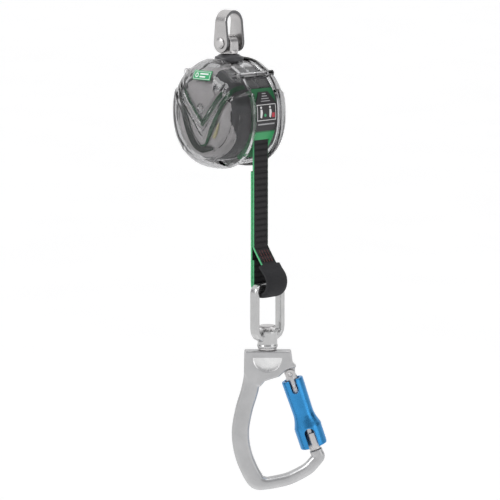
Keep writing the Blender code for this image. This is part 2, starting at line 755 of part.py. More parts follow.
def bail():
    """The anchor bail: a steel strap bent into a U, its pin with a domed head and the clip that holds it."""
    outer = BAIL_INNER + BAIL_PLATE
    spring_line = DRUM_DROP - BAIL_INNER
    strap = [(outer, 50.0)] + arc((0, spring_line), outer, 0, 180, 15) + [(-outer, 50.0), (-BAIL_INNER, 50.0)]
    strap += arc((0, spring_line), BAIL_INNER, 180, 0, 15) + [(BAIL_INNER, 50.0)]
    bent = as_mesh(plate("bail_strap", [strap], 30.0, STEEL, CASE, along="X"))
    taper = math.degrees(math.atan2(BAIL_EYE_RADIUS - BAIL_TOP_HALF, 24.0))
    face = arc((0, PIN_HEIGHT), BAIL_EYE_RADIUS, 180 - taper, 360 + taper, 15)
    face += [(BAIL_TOP_HALF, spring_line + 4.0), (BAIL_TOP_HALF, 110.0), (-BAIL_TOP_HALF, 110.0)]
    face += [(-BAIL_TOP_HALF, spring_line + 4.0)]
    keep_common(bent, as_mesh(plate("bail_face", [face], 40.0, STEEL, CASE)))
    across = [(0, -20, PIN_HEIGHT), (0, 20, PIN_HEIGHT)]
    cut(bent, rod("bail_hole", PIN_RADIUS + GAP, across, STEEL, CASE, 16))
    head = outer + GAP
    pin = [
        (0.0, 14.9),
        (PIN_RADIUS, 14.9),
        (PIN_RADIUS, -head),
        (5.6, -head),
        (5.0, -head - 1.4),
        (3.0, -head - 2.2),
        (0.0, -head - 2.4),
    ]
    turned("bail_pin", pin, STEEL, CASE, steps=16, centre=(0, 0, PIN_HEIGHT), ring=False)
    clip = [(6.4, 14.0), (6.4, 12.8), (PIN_RADIUS + GAP, 12.8), (PIN_RADIUS + GAP, 14.0)]
    turned("bail_pin_clip", clip, SPRING_STEEL, CASE, steps=14, centre=(0, 0, PIN_HEIGHT))


# ---------------------------------------------------------------- line and swivel eye


def line():
    """The web: its run inside the nose, the stretch that pays out, and the sewn loop round the eye's bar."""
    front = WEB_FRONT
    back = WEB_FRONT - WEB_THICKNESS
    width = 2 * WEB_HALF_WIDTH
    start = (35.9, 1.5)
    inner_run = [start, (front, WEB_EXIT + 1.2), (back, WEB_EXIT + 1.2), (start[0] - 2.3, 0.6)]
    plate("web_inner_run", [inner_run], width, WEB, CASE)
    upper, lower_end = WEB_EXIT + 0.9, TAIL_TOP + GAP
    stretch = [(back, upper), (front, upper), (front, lower_end), (back, lower_end)]
    plate("web_line", [stretch], width, WEB, CASE)

    tail = front - 2 * WEB_THICKNESS - 0.4
    parting = [(front, PARTING + 2.0), (front + 1.2, PARTING - 1.5), (58.6, -150.0)]
    bulge = [(66.2, -158.5), (68.4, -166.0), (66.2, -173.8), (60.4, -179.2), (53.4, -180.2)]
    rise = [(46.0, -177.0), (42.0, -169.0), (tail, -159.0), (tail, -150.0)]
    bend = smooth_through(parting + bulge + rise, 3)
    path = [(front, TAIL_TOP)] + bend + [(tail, TAIL_TOP)]
    plate("web_loop", [ribbon(path, -WEB_THICKNESS)], width, WEB, CASE)

    lower = [point for point in bend if point[1] < -148.0]
    inside = shifted(lower, -WEB_THICKNESS - GAP)
    plate("loop_liner", [ribbon(inside[1:-3], -LINER_THICKNESS)], width - 0.6, LINER, CASE)
    outside = shifted(lower, GAP)
    covered = [point for point in outside if point[0] > SLEEVE_BACK]
    wrap = ribbon(covered, SLEEVE_THICKNESS)
    plate("wear_sleeve", [wrap], 2 * SLEEVE_HALF_WIDTH, SLEEVE, CASE)


def swivel_eye():
    """The oblong eye that the loop hangs, its hub, and the rivet and washer that let the hook turn under it."""
    half, leg = EYE_HALF_WIDTH, EYE_LEG
    corner = 8.0
    ring = arc((half - corner, EYE_TOP - corner), corner, 0, 90, 5)
    ring += arc((-half + corner, EYE_TOP - corner), corner, 90, 180, 5)
    side = [(half, -216.0), (half - 2.6, -222.0), (10.6, -227.5)]
    ring += [(-x, z) for x, z in side] + side[::-1]
    inner = half - leg
    small = 3.0
    bar = 7.6
    window = arc((inner - small, EYE_TOP - bar - small), small, 0, 90, 3)
    window += arc((-inner + small, EYE_TOP - bar - small), small, 90, 180, 3)
    window += arc((-inner + small, EYE_FLOOR + small), small, 180, 270, 3)
    window += arc((inner - small, EYE_FLOOR + small), small, 270, 360, 3)
    middle = (EYE_X, 0, 0)
    link = plate("swivel_eye", [ring, window], EYE_DEPTH, ALUMINIUM, CASE, along="X", centre=middle, edge=2.4)
    eye = as_mesh(link)
    hub = [(0.0, -216.0), (8.0, -216.0), (EYE_HUB_RADIUS, -218.0), (EYE_HUB_RADIUS, HUB_BOTTOM + 0.8)]
    hub += [(EYE_HUB_RADIUS - 0.8, HUB_BOTTOM), (0.0, HUB_BOTTOM)]
    join(eye, turned("eye_hub", hub, ALUMINIUM, CASE, about="Z", steps=20, centre=(EYE_X, 0, 0), ring=False))
    cut(eye, rod("eye_bore", RIVET_RADIUS + GAP, [(EYE_X, 0, -205), (EYE_X, 0, -240)], ALUMINIUM, CASE, 16))
    bore, under = RIVET_RADIUS + GAP, HUB_BOTTOM - GAP
    washer = [(9.4, under), (9.4, -234.4), (bore, -234.4), (bore, under)]
    turned("swivel_washer", washer, STEEL, CASE, about="Z", steps=20, centre=(EYE_X, 0, 0))
    head = EYE_FLOOR + GAP
    rivet = [
        (0.0, head + 2.2),
        (7.6, head + 2.2),
        (8.4, head + 1.4),
        (8.4, head),
        (RIVET_RADIUS, head),
        (RIVET_RADIUS, -247.0),
        (0.0, -247.0),
    ]
    turned("swivel_rivet", rivet, STEEL, CASE, about="Z", steps=16, centre=(EYE_X, 0, 0), ring=False)


# ---------------------------------------------------------------- karabiner


def gate_point(along, across=0.0):
    """A point of the gate in the hook's plane: along its axis from the hinge, and across it."""
    lean = math.radians(GATE_LEAN_DEG)
    x = HINGE[0] + along * math.sin(lean) + across * math.cos(lean)
    z = HINGE[1] - along * math.cos(lean) + across * math.sin(lean)
    return x, z


def hook_outline():
    """The karabiner body's outline, from its top round the back and the basket to the nose, and back inside."""
    back = [(-23.0, -249.0), (-23.8, -259.0), (-27.3, -276.0), (-33.4, -297.0), (-35.9, -320.0), (-33.0, -341.0)]
    basket = [(-25.8, -359.0), (-17.0, -373.0), (-5.2, -378.2), (18.0, -373.4), (38.1, -363.5), (51.6, -352.8)]
    outer = smooth_through(back + basket + [gate_point(88.0, 7.2), gate_point(NOSE_START, 6.7)], 2)
    throat = [gate_point(NOSE_START, -6.7), gate_point(86.0, -6.2), (34.5, -354.0), BASKET_HIGH]
    inside = smooth_through(throat, 2)
    spine = [BASKET_LOW, (-4.4, -363.6), (-9.3, -354.5), (-15.8, -338.5), (-18.4, -318.0), (-15.4, -297.0)]
    inner = smooth_through(spine + [(-9.6, -281.5), (-6.4, -269.6), (-2.6, -266.6)], 2)
    shoulder = [(11.5, -262.0), (15.2, -258.6), (19.0, -255.2), (22.8, -253.8), (29.0, -252.4)]
    top = [(25.4, -248.0), (23.7, HOOK_TOP - 1.0), (22.7, HOOK_TOP), (-22.2, HOOK_TOP), (-23.2, HOOK_TOP - 1.0)]
    return outer + inside + inner + shoulder + top


def hook_body():
    """The forged karabiner body, with its tang for the gate hinge, its nose tongue and its rivet seat."""
    body = as_mesh(plate("karabiner_body", [hook_outline()], HOOK_THICKNESS, ALUMINIUM, HOOK, edge=2.6))
    x, z = HINGE
    tang = [(15.0, -250.0), (17.4, z - 1.0)] + arc((x, z), 4.6, 200, 350, 7) + [(28.0, -250.0)]
    join(body, as_mesh(plate("hinge_tang", [tang], TONGUE_THICKNESS, ALUMINIUM, HOOK)))
    tongue = [gate_point(NOSE_START + 5.0, -3.0), gate_point(NOSE_START + 5.0, 3.0)]
    tongue += [gate_point(TONGUE_START, 3.0), gate_point(TONGUE_START, -3.0)]
    join(body, as_mesh(plate("nose_tongue", [tongue], TONGUE_THICKNESS, ALUMINIUM, HOOK)))
    cut(body, rod("hinge_hole", PIVOT_RADIUS + GAP, [(x, -20, z), (x, 20, z)], ALUMINIUM, HOOK, 12))
    cut(body, rod("rivet_hole", RIVET_RADIUS + GAP, [(0, 0, -230), (0, 0, -253)], ALUMINIUM, HOOK, 16))
    for side in (-1, 1):
        moon = arc((0, -243.5), 14.5, 180, 360, 9)
        middle = (0, side * (HOOK_THICKNESS / 2 + 0.8), 0)
        pocket = plate(f"moon_{side}", [moon], 4.0, ALUMINIUM, HOOK, centre=middle)
        cut(body, as_mesh(pocket))
    cheek = HOOK_THICKNESS / 2 - 0.4
    rod("gate_hinge_pin", PIVOT_RADIUS, [(x, -cheek, z), (x, cheek, z)], STEEL, HOOK, 12)


def gate():
    """The gate: a barrel with a fork at the hinge and a notch at the nose, its spring and its locking sleeve."""
    start, end = gate_point(3.4), gate_point(BARREL_END)
    ends = [(start[0], 0, start[1]), (end[0], 0, end[1])]
    barrel = rod("gate_barrel", BARREL_RADIUS, ends, STEEL, HOOK, 20)
    lean = GATE_LEAN_DEG
    fork = [gate_point(SLEEVE_START - GAP, 5.0)] + arc(HINGE, 5.0, lean, lean + 180.0, 9)
    fork += [gate_point(SLEEVE_START - GAP, -5.0)]
    join(barrel, as_mesh(plate("gate_fork", [fork], HOOK_THICKNESS - 1.6, STEEL, HOOK)))
    slot = TONGUE_THICKNESS + 2 * GAP
    throat = [gate_point(9.0, -9.0), gate_point(9.0, 9.0), gate_point(-9.0, 9.0), gate_point(-9.0, -9.0)]
    cut(barrel, as_mesh(plate("fork_throat", [throat], slot, STEEL, HOOK)))
    notch = [gate_point(TONGUE_START - 1.0, -9.0), gate_point(TONGUE_START - 1.0, 9.0)]
    notch += [gate_point(BARREL_END + 5.0, 9.0), gate_point(BARREL_END + 5.0, -9.0)]
    cut(barrel, as_mesh(plate("nose_notch", [notch], slot, STEEL, HOOK)))
    x, z = HINGE
    cut(barrel, rod("fork_hole", PIVOT_RADIUS + GAP, [(x, -20, z), (x, 20, z)], STEEL, HOOK, 12))
    low, high = gate_point(SPRING_WELL_END), gate_point(0.0)
    cut(barrel, rod("spring_well", 3.0, [(low[0], 0, low[1]), (high[0], 0, high[1])], STEEL, HOOK, 12))
    gate_spring()
    gate_sleeve()


def gate_spring():
    """The small coil spring in the barrel, which pushes on the tang and shuts the gate."""
    curve = bpy.data.curves.new("gate_spring", "CURVE")
    curve.dimensions = "3D"
    curve.bevel_depth = 0.5 * MM
    curve.bevel_resolution = 0
    curve.use_fill_caps = True
    turns, per_turn, radius = 6, 8, 2.1
    count = turns * per_turn + 1
    spline = curve.splines.new("POLY")
    spline.points.add(count - 1)
    length = SPRING_WELL_END - 1.2 - 9.6
    for i, point in enumerate(spline.points):
        turn = 2 * math.pi * i / per_turn
        down = -9.6 - length * i / (count - 1)
        point.co = (radius * math.cos(turn) * MM, radius * math.sin(turn) * MM, down * MM, 1.0)
    obj = bpy.data.objects.new("gate_spring", curve)
    PARTS.objects.link(obj)
    place(obj, SPRING_STEEL, HOOK)
    obj.location = Vector((HINGE[0], 0, HINGE[1])) * MM
    obj.rotation_euler = (0.0, -math.radians(GATE_LEAN_DEG), 0.0)


def gate_sleeve():
    """The blue locking sleeve: narrow at the top, waisted, flared over the nose, with its slots."""
    length = SLEEVE_END - SLEEVE_START
    bore = BARREL_RADIUS + GAP
    profile = [
        (bore, 0.0),
        (10.4, 0.0),
        (11.0, -0.6),
        (10.3, -0.50 * length),
        (11.6, -0.60 * length),
        (13.9, -0.69 * length),
        (13.9, -length + 0.6),
        (13.3, -length),
        (11.6, -length),
        (11.6, -0.74 * length),
        (bore, -0.68 * length),
    ]
    top = gate_point(SLEEVE_START)
    sleeve = turned("gate_sleeve", profile, BLUE, HOOK, about="Z", steps=24, centre=(top[0], 0, top[1]))
    sleeve.rotation_euler = (0.0, -math.radians(GATE_LEAN_DEG), 0.0)
    half = SLEEVE_SLOT / 2
    for name, first, last in (("upper_slot", -2.0, 19.5), ("lower_slot", 59.0, 90.0)):
        corners = [(first, -half), (first, half), (last, half), (last, -half)]
        window = [gate_point(along, across) for along, across in corners]
        cut(sleeve, as_mesh(plate(name, [window], 16.0, BLUE, HOOK, centre=(0, -9.0, 0))))
    escape = [gate_point(58.0, 1.0), gate_point(58.0, 18.0), gate_point(90.0, 18.0), gate_point(90.0, 1.0)]
    cut(sleeve, as_mesh(plate("escape_slot", [escape], SLEEVE_SLOT + 0.4, BLUE, HOOK)))


def main():
    for side, word in ((-1, "left"), (1, "right")):
        clear_shell(side, word)
        inner_casing(side, word)
        chevron(side, word, "inner", -6.0, 26.0, 31.0, 4.0)
        chevron(side, word, "outer", -23.0, 36.0, 44.0, 6.0, over=(56.0, 27.5))
        shield_plate(side, word)
    badge()
    case_screws()
    web_guide()
    front_label()
    load_frame()
    drum()
    lock()
    retraction_spring()
    swivel()
    bail()
    line()
    swivel_eye()
    hook_body()
    gate()


main()
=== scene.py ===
import math

import bmesh
import bpy
from mathutils import Matrix, Vector


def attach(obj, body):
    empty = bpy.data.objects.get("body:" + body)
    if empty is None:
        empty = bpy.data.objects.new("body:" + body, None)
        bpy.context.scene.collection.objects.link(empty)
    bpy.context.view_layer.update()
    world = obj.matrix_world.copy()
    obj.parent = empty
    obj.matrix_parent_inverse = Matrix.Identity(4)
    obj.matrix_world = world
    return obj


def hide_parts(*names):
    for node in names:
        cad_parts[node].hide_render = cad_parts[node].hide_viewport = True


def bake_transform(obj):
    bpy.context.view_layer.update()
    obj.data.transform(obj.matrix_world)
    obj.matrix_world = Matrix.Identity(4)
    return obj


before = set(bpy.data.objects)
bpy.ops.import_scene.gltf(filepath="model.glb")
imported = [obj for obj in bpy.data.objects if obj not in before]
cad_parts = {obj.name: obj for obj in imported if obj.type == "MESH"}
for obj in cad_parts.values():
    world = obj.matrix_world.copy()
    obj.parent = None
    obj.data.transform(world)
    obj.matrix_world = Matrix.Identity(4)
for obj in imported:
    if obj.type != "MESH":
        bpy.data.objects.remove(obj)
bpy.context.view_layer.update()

# Sizes are in millimetres, counted from the drum's axis; ROW puts them in the row frame, in metres.
DRUM_DROP = 98.4
BAIL_PIN = 68.8  # height of the bail's pin
EYE_X = 54.1  # the line of the eye and the hook
HINGE = (22.8, -259.8)  # the gate's hinge, in the hook's own plane
LEAN = math.radians(18.4)  # how far the closed gate leans
HOOK_HALF = 6.5  # half of the karabiner's thickness
DISH = -242.6  # height of the dish in the karabiner's top
WEB_START, WEB_END = -25.1, -55.7  # the length of web that pays out
NOSE_LINE = -17.0  # the nose is bright green below this height
AZIMUTH, ELEVATION, DISTANCE = 45.0, 8.7, 3.3  # the camera, in degrees and metres
AIM = (29.6, -0.1, -137.2)
FLOOR = -2.1  # metres, below the karabiner when the web is fully paid out
SCALE = Matrix.Scale(0.001, 4)
ROW = SCALE @ Matrix.Translation((0, 0, -DRUM_DROP))
HOOK = ROW @ Matrix.Translation((EYE_X, 0, 0)) @ Matrix.Rotation(math.radians(45), 4, "Z")
GATE = HOOK @ Matrix.Translation((HINGE[0], 0, HINGE[1])) @ Matrix.Rotation(-LEAN, 4, "Y")
ALONG_Y = Matrix.Rotation(math.pi / 2, 4, "X")
ALONG_X = Matrix.Rotation(math.pi / 2, 4, "Z") @ Matrix.Rotation(math.pi / 2, 4, "X")
AXIS_Y = Matrix.Rotation(-math.pi / 2, 4, "X")  # a lathe's height then runs along +Y


# ---------------------------------------------------------------- materials


def shader(name):
    made = bpy.data.materials.new(name)
    made.use_nodes = True
    tree = made.node_tree
    return made, tree, tree.nodes["Principled BSDF"]


def node(tree, kind, **values):
    made = tree.nodes.new(kind)
    for key, value in values.items():
        if hasattr(made, key):
            setattr(made, key, value)
        else:
            made.inputs[key.replace("_", " ")].default_value = value
    return made


def noise(tree, scale, detail=4.0, rough=0.55, stretch=(1, 1, 1)):
    """Noise in the object's own coordinates, in metres; scale counts features per metre."""
    place = node(tree, "ShaderNodeTexCoord")
    mapping = node(tree, "ShaderNodeMapping", Scale=stretch)
    tree.links.new(place.outputs["Object"], mapping.inputs["Vector"])
    made = node(tree, "ShaderNodeTexNoise", Scale=scale, Detail=detail, Roughness=rough)
    tree.links.new(mapping.outputs["Vector"], made.inputs["Vector"])
    return made.outputs["Fac"]


def ramp(tree, source, stops):
    made = node(tree, "ShaderNodeValToRGB")
    while len(made.color_ramp.elements) < len(stops):
        made.color_ramp.elements.new(0.5)
    for element, (at, colour) in zip(made.color_ramp.elements, stops):
        element.position = at
        element.color = (*colour, 1.0) if len(colour) == 3 else colour
    tree.links.new(source, made.inputs["Fac"])
    return made.outputs["Color"]


def spread(tree, source, low, high, start=0.3, end=0.7):
    made = node(tree, "ShaderNodeMapRange", From_Min=start, From_Max=end, To_Min=low, To_Max=high)
    tree.links.new(source, made.inputs["Value"])
    return made.outputs["Result"]


def bump(tree, surface, source, depth, strength=1.0, below=None):
    made = node(tree, "ShaderNodeBump", Distance=depth, Strength=strength)
    tree.links.new(source, made.inputs["Height"])
    if below is not None:
        tree.links.new(below, made.inputs["Normal"])
    tree.links.new(made.outputs["Normal"], surface.inputs["Normal"])
    return made.outputs["Normal"]


def scaled(colour, k):
    return tuple(min(c * k, 1.0) for c in colour)


def clouded(tree, scale, colour, low, high):
    return ramp(tree, noise(tree, scale, 3.0), [(0.3, scaled(colour, low)), (0.7, scaled(colour, high))])


def metal(name, colour, roughness, grain=900.0, stretch=(1, 1, 1), depth=0.00003, spread_by=0.1):
    """Satin or brushed metal: fine grain in the bump and the roughness, slow clouds in the colour."""
    made, tree, surface = shader(name)
    surface.inputs["Metallic"].default_value = 1.0
    clouds = clouded(tree, 60.0, colour, 0.92, 1.06)
    tree.links.new(clouds, surface.inputs["Base Color"])
    fine = noise(tree, grain, 3.0, 0.6, stretch)
    rough = spread(tree, fine, roughness - spread_by, roughness + spread_by)
    tree.links.new(rough, surface.inputs["Roughness"])
    bump(tree, surface, fine, depth)
    return made


def plastic(name, colour, roughness, grain=2500.0, depth=0.00004):
    """Moulded plastic: slow clouds in the colour and a fine grain in the gloss."""
    made, tree, surface = shader(name)
    clouds = clouded(tree, 45.0, colour, 0.85, 1.12)
    tree.links.new(clouds, surface.inputs["Base Color"])
    fine = noise(tree, grain, 2.0)
    tree.links.new(spread(tree, fine, roughness - 0.06, roughness + 0.08), surface.inputs["Roughness"])
    bump(tree, surface, fine, depth)
    return made


def clear(name):
    """Clear moulded polycarbonate with faint flow marks, which darkens with the depth looked through."""
    made, tree, surface = shader(name)
    surface.inputs["Base Color"].default_value = (0.93, 0.93, 0.935, 1.0)
    smoke = node(tree, "ShaderNodeVolumeAbsorption", Density=115.0, Color=(0.30, 0.30, 0.31, 1.0))
    tree.links.new(smoke.outputs[0], tree.nodes["Material Output"].inputs["Volume"])
    surface.inputs["IOR"].default_value = 1.4
    surface.inputs["Transmission Weight"].default_value = 1.0
    flow = noise(tree, 46.0, 3.0, 0.5, (1, 1, 0.5))
    tree.links.new(spread(tree, flow, 0.0, 0.03), surface.inputs["Roughness"])
    bump(tree, surface, flow, 0.0009, 0.6)
    return made


def along(tree, axis):
    """One coordinate of a point in the object's own frame, in metres."""
    place = node(tree, "ShaderNodeTexCoord")
    apart = node(tree, "ShaderNodeSeparateXYZ")
    tree.links.new(place.outputs["Object"], apart.inputs["Vector"])
    return apart.outputs[axis]


def wave(tree, axis, pitch, sharp=0.5):
    """Bands across an axis of the object, pitch metres apart, 0 in the grooves and 1 on the ribs."""
    turn = maths(tree, "MULTIPLY", along(tree, axis), math.pi / pitch)
    return maths(tree, "POWER", maths(tree, "ABSOLUTE", maths(tree, "SINE", turn)), sharp)


def maths(tree, operation, a, b=None):
    made = node(tree, "ShaderNodeMath", operation=operation)
    for index, value in enumerate((a, b)):
        if value is None:
            continue
        if isinstance(value, (int, float)):
            made.inputs[index].default_value = value
        else:
            tree.links.new(value, made.inputs[index])
    return made.outputs[0]


def blend_colour(tree, share, first, second):
    made = node(tree, "ShaderNodeMix", data_type="RGBA")
    tree.links.new(share, made.inputs[0])
    for index, value in ((6, first), (7, second)):
        if isinstance(value, tuple):
            made.inputs[index].default_value = (*value, 1.0)
        else:
            tree.links.new(value, made.inputs[index])
    return made.outputs[2]


def edge_mask(tree, half_width, soft=0.0004):
    """1 where the object's |Y| is past half_width, for a web's selvedge."""
    size = maths(tree, "ABSOLUTE", along(tree, "Y"))
    return spread(tree, size, 0.0, 1.0, half_width - soft, half_width + soft)


def woven(name, colour, second, rib=0.0058, half_width=None, edge=(0.10, 0.44, 0.20), lines=0.0011):
    """Woven polyester: cross ribs, lengthwise yarns and, if asked, green selvedges."""
    made, tree, surface = shader(name)
    ribs = wave(tree, "Z", rib, 0.4)
    yarns = wave(tree, "Y", lines, 0.7)
    picks = wave(tree, "Z", lines * 0.8, 0.7)
    weave = maths(tree, "MULTIPLY", yarns, picks)
    fuzz = noise(tree, 2600.0, 4.0, 0.7)
    threads = maths(tree, "MULTIPLY", weave, 0.22)
    # The colour follows the ribs and threads, darker in their grooves and lighter on their crowns: painted
    # groove shade, over random tone from the fuzz.
    tone_and_groove_shade = maths(tree, "ADD", maths(tree, "MULTIPLY", fuzz, 0.42), threads)
    tone_and_groove_shade = maths(tree, "ADD", maths(tree, "MULTIPLY", ribs, 0.42), tone_and_groove_shade)
    base = ramp(tree, tone_and_groove_shade, [(0.15, scaled(colour, 0.45)), (0.55, colour), (0.95, second)])
    if half_width:
        green = ramp(tree, fuzz, [(0.3, scaled(edge, 0.8)), (0.7, scaled(edge, 1.25))])
        base = blend_colour(tree, edge_mask(tree, half_width), base, green)
    tree.links.new(base, surface.inputs["Base Color"])
    surface.inputs["Roughness"].default_value = 0.9
    surface.inputs["Specular IOR Level"].default_value = 0.2
    surface.inputs["Sheen Weight"].default_value = 0.04
    height = maths(tree, "ADD", maths(tree, "MULTIPLY", ribs, 0.7), maths(tree, "MULTIPLY", weave, 0.35))
    below = bump(tree, surface, height, 0.0007, 0.8)
    bump(tree, surface, fuzz, 0.00012, 0.6, below)
    return made


STEEL = metal("forged_alloy", (0.47, 0.47, 0.475), 0.36, 1800.0, depth=0.00002)
EYE_METAL = metal("eye_alloy", (0.52, 0.52, 0.52), 0.28, 1800.0, depth=0.000008)
BAIL_METAL = metal("bail_steel", (0.50, 0.49, 0.49), 0.32, 1800.0, (1, 1, 0.15), 0.00001)
# Near-black metal for the bail strap's side edges: a painted dark reflection.
BAIL_EDGE_REFLECTION = metal("painted_edge_reflection", (0.15, 0.15, 0.155), 0.38, 1400.0)
# Brighter, smoother alloy for the karabiner's dishes; its brighter colour is a painted highlight.
DISH_HIGHLIGHT = metal("dish_highlight_alloy", (0.74, 0.74, 0.74), 0.24, 1800.0, depth=0.000006)
PIN_METAL = metal("pin_steel", (0.56, 0.55, 0.55), 0.34, 1600.0, depth=0.000008)
DARK_METAL = metal("dark_spring_steel", (0.22, 0.23, 0.26), 0.35, 700.0)
ZINC = metal("yellow_zinc", (0.70, 0.60, 0.30), 0.4, 400.0)
BRONZE = metal("bronze", (0.55, 0.38, 0.20), 0.4, 600.0)
BLUE = metal("blue_anodised", (0.042, 0.245, 0.53), 0.28, 1600.0, (1, 1, 0.3), 0.00001, 0.07)
CLEAR = clear("clear_polycarbonate")
DARK = plastic("dark_grey_plastic", (0.045, 0.045, 0.050), 0.42)
# Dark green-grey for the outer V's left arm and the ground below it, darkened as painted shade.
BAND_DARK = plastic("dark_green_grey", (0.016, 0.026, 0.020), 0.5)
FACE_LIGHT = plastic("pale_grey_plastic", (0.78, 0.75, 0.75), 0.3)
FACE_GREY = plastic("mid_grey_plastic", (0.56, 0.54, 0.54), 0.3)
PLATE_GREY = plastic("grey_plate", (0.52, 0.50, 0.50), 0.5)
GREEN_DARK = plastic("dark_green_plastic", (0.006, 0.105, 0.034), 0.38)
GREEN = plastic("green_plastic", (0.018, 0.27, 0.085), 0.36)
BAND_GREEN = plastic("band_green", (0.002, 0.075, 0.022), 0.5)
BADGE_GREEN = plastic("badge_green", (0.012, 0.30, 0.105), 0.4)
BEIGE = plastic("beige_plastic", (0.66, 0.60, 0.34), 0.45)
LABEL_BLACK = plastic("label_black", (0.014, 0.013, 0.015), 0.38)
LABEL_WHITE = plastic("label_white", (0.72, 0.72, 0.72), 0.5)
LABEL_GREY = plastic("label_grey", (0.33, 0.33, 0.34), 0.5)
LABEL_GREEN = plastic("label_green", (0.03, 0.36, 0.14), 0.5)
LABEL_RED = plastic("label_red", (0.45, 0.03, 0.05), 0.5)
WEB = woven("black_web", (0.010, 0.010, 0.011), (0.052, 0.050, 0.052), half_width=0.0098)
LINER = woven("dark_liner", (0.010, 0.010, 0.010), (0.03, 0.03, 0.03), rib=0.0022)
SLEEVE = woven("black_sleeve", (0.020, 0.020, 0.022), (0.036, 0.036, 0.039), rib=0.0012, lines=0.0009)
THREAD = woven("dark_thread", (0.10, 0.030, 0.030), (0.20, 0.08, 0.08), rib=0.0008, lines=0.0006)
BLACK_THREAD = woven("black_thread", (0.03, 0.03, 0.033), (0.09, 0.09, 0.09), rib=0.0008, lines=0.0006)


# ---------------------------------------------------------------- mesh tools


def new_object(name, mesh):
    made = bpy.data.objects.new(name, mesh)
    bpy.context.scene.collection.objects.link(made)
    return made


def from_points(name, points, faces, matrix):
    mesh = bpy.data.meshes.new(name)
    mesh.from_pydata([matrix @ Vector(p) for p in points], [], faces)
    made = new_object(name, mesh)
    tidy(made)
    return made


def tidy(obj, distance=0.000002):
    work = bmesh.new()
    work.from_mesh(obj.data)
    bmesh.ops.remove_doubles(work, verts=work.verts, dist=distance)
    bmesh.ops.recalc_face_normals(work, faces=work.faces)
    work.to_mesh(obj.data)
    work.free()


def applied(obj):
    """The object's modifiers turned into its mesh."""
    bpy.context.view_layer.update()
    graph = bpy.context.evaluated_depsgraph_get()
    mesh = bpy.data.meshes.new_from_object(obj.evaluated_get(graph))
    mesh.transform(obj.matrix_world)
    made = new_object(obj.name + "_made", mesh)
    name = obj.name
    bpy.data.objects.remove(obj)
    made.name = name
    return made


def lathe(name, profile, matrix, steps=64):
    """A profile of (radius, height) turned about the matrix's Z axis, closed unless it starts on it."""
    points, faces = [], []
    n = len(profile)
    ring = profile[0][0] > 0
    for k in range(steps):
        a = 2 * math.pi * k / steps
        points += [(r * math.cos(a), r * math.sin(a), h) for r, h in profile]
    for k in range(steps):
        m = (k + 1) % steps
        for i in range(n if ring else n - 1):
            j = (i + 1) % n
            faces.append((k * n + i, k * n + j, m * n + j, m * n + i))
    work = bmesh.new()
    verts = [work.verts.new(matrix @ Vector(p)) for p in points]
    for face in faces:
        work.faces.new([verts[i] for i in face])
    bmesh.ops.remove_doubles(work, verts=work.verts, dist=0.000001)
    bmesh.ops.dissolve_degenerate(work, edges=work.edges, dist=0.0000005)
    bmesh.ops.recalc_face_normals(work, faces=work.faces)
    mesh = bpy.data.meshes.new(name)
    work.to_mesh(mesh)
    work.free()
    return new_object(name, mesh)


def slab(name, outlines, thickness, matrix, edge=0.0, rounds=3):
    """A flat outline with holes, given thickness and rounded rims, centred on the matrix's XY plane."""
    curve = bpy.data.curves.new(name, "CURVE")
    curve.dimensions = "2D"
    curve.fill_mode = "BOTH"
    curve.extrude = (thickness / 2 - edge) * 0.001
    if edge:
        curve.bevel_depth = edge * 0.001
        curve.bevel_resolution = rounds
        curve.offset = -edge * 0.001
    for outline in outlines:
        spline = curve.splines.new("POLY")
        spline.points.add(len(outline) - 1)
        for point, (x, y) in zip(spline.points, outline):
            point.co = (x * 0.001, y * 0.001, 0.0, 1.0)
        spline.use_cyclic_u = True
    obj = new_object(name, curve)
    obj.matrix_world = matrix @ Matrix.Scale(1000, 4)
    made = applied(obj)
    tidy(made)
    return made


def rod(name, radius, start, end, matrix, steps=32):
    start, end = Vector(start), Vector(end)
    turn = (end - start).to_track_quat("Z", "Y").to_matrix().to_4x4()
    length = (end - start).length
    place = matrix @ Matrix.Translation(start) @ turn
    return lathe(name, [(0, 0), (radius, 0), (radius, length), (0, length)], place, steps)


def boolean(obj, other, operation="DIFFERENCE"):
    step = obj.modifiers.new("Cut", "BOOLEAN")
    step.operation = operation
    step.object = other
    step.solver = "MANIFOLD"
    made = applied(obj)
    bpy.data.objects.remove(other)
    return made


def joined(name, parts):
    work = bmesh.new()
    for part in parts:
        work.from_mesh(part.data)
        bpy.data.objects.remove(part)
    mesh = bpy.data.meshes.new(name)
    work.to_mesh(mesh)
    work.free()
    return new_object(name, mesh)


def forged(name, parts, voxel, passes=4):
    """Overlapping closed meshes melted into one body with softly rounded edges and fillets."""
    obj = joined(name, parts)
    remesh = obj.modifiers.new("Melt", "REMESH")
    remesh.mode = "VOXEL"
    remesh.voxel_size = voxel * 0.001
    remesh.adaptivity = 0.0
    obj = applied(obj)
    relax = obj.modifiers.new("Relax", "SMOOTH")
    relax.factor = 0.5
    relax.iterations = passes
    return applied(obj)


def smooth_shade(obj, angle=40.0):
    obj.data.shade_smooth()
    if angle < 180:
        obj.data.set_sharp_from_angle(angle=math.radians(angle))


def piece(obj, material, body, replaces=(), angle=40.0):
    """Gives a finished mesh its material, shading and body, and hides the CAD nodes it replaces."""
    obj.data.materials.clear()
    obj.data.materials.append(material)
    smooth_shade(obj, angle)
    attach(obj, body)
    if replaces:
        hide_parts(*replaces)
    return obj


def arc(centre, radius, start_deg, end_deg, count):
    turn = [math.radians(start_deg + (end_deg - start_deg) * i / (count - 1)) for i in range(count)]
    return [(centre[0] + radius * math.cos(t), centre[1] + radius * math.sin(t)) for t in turn]


def circle(centre, radius, count=48):
    return arc(centre, radius, 0.0, 360.0 * (count - 1) / count, count)


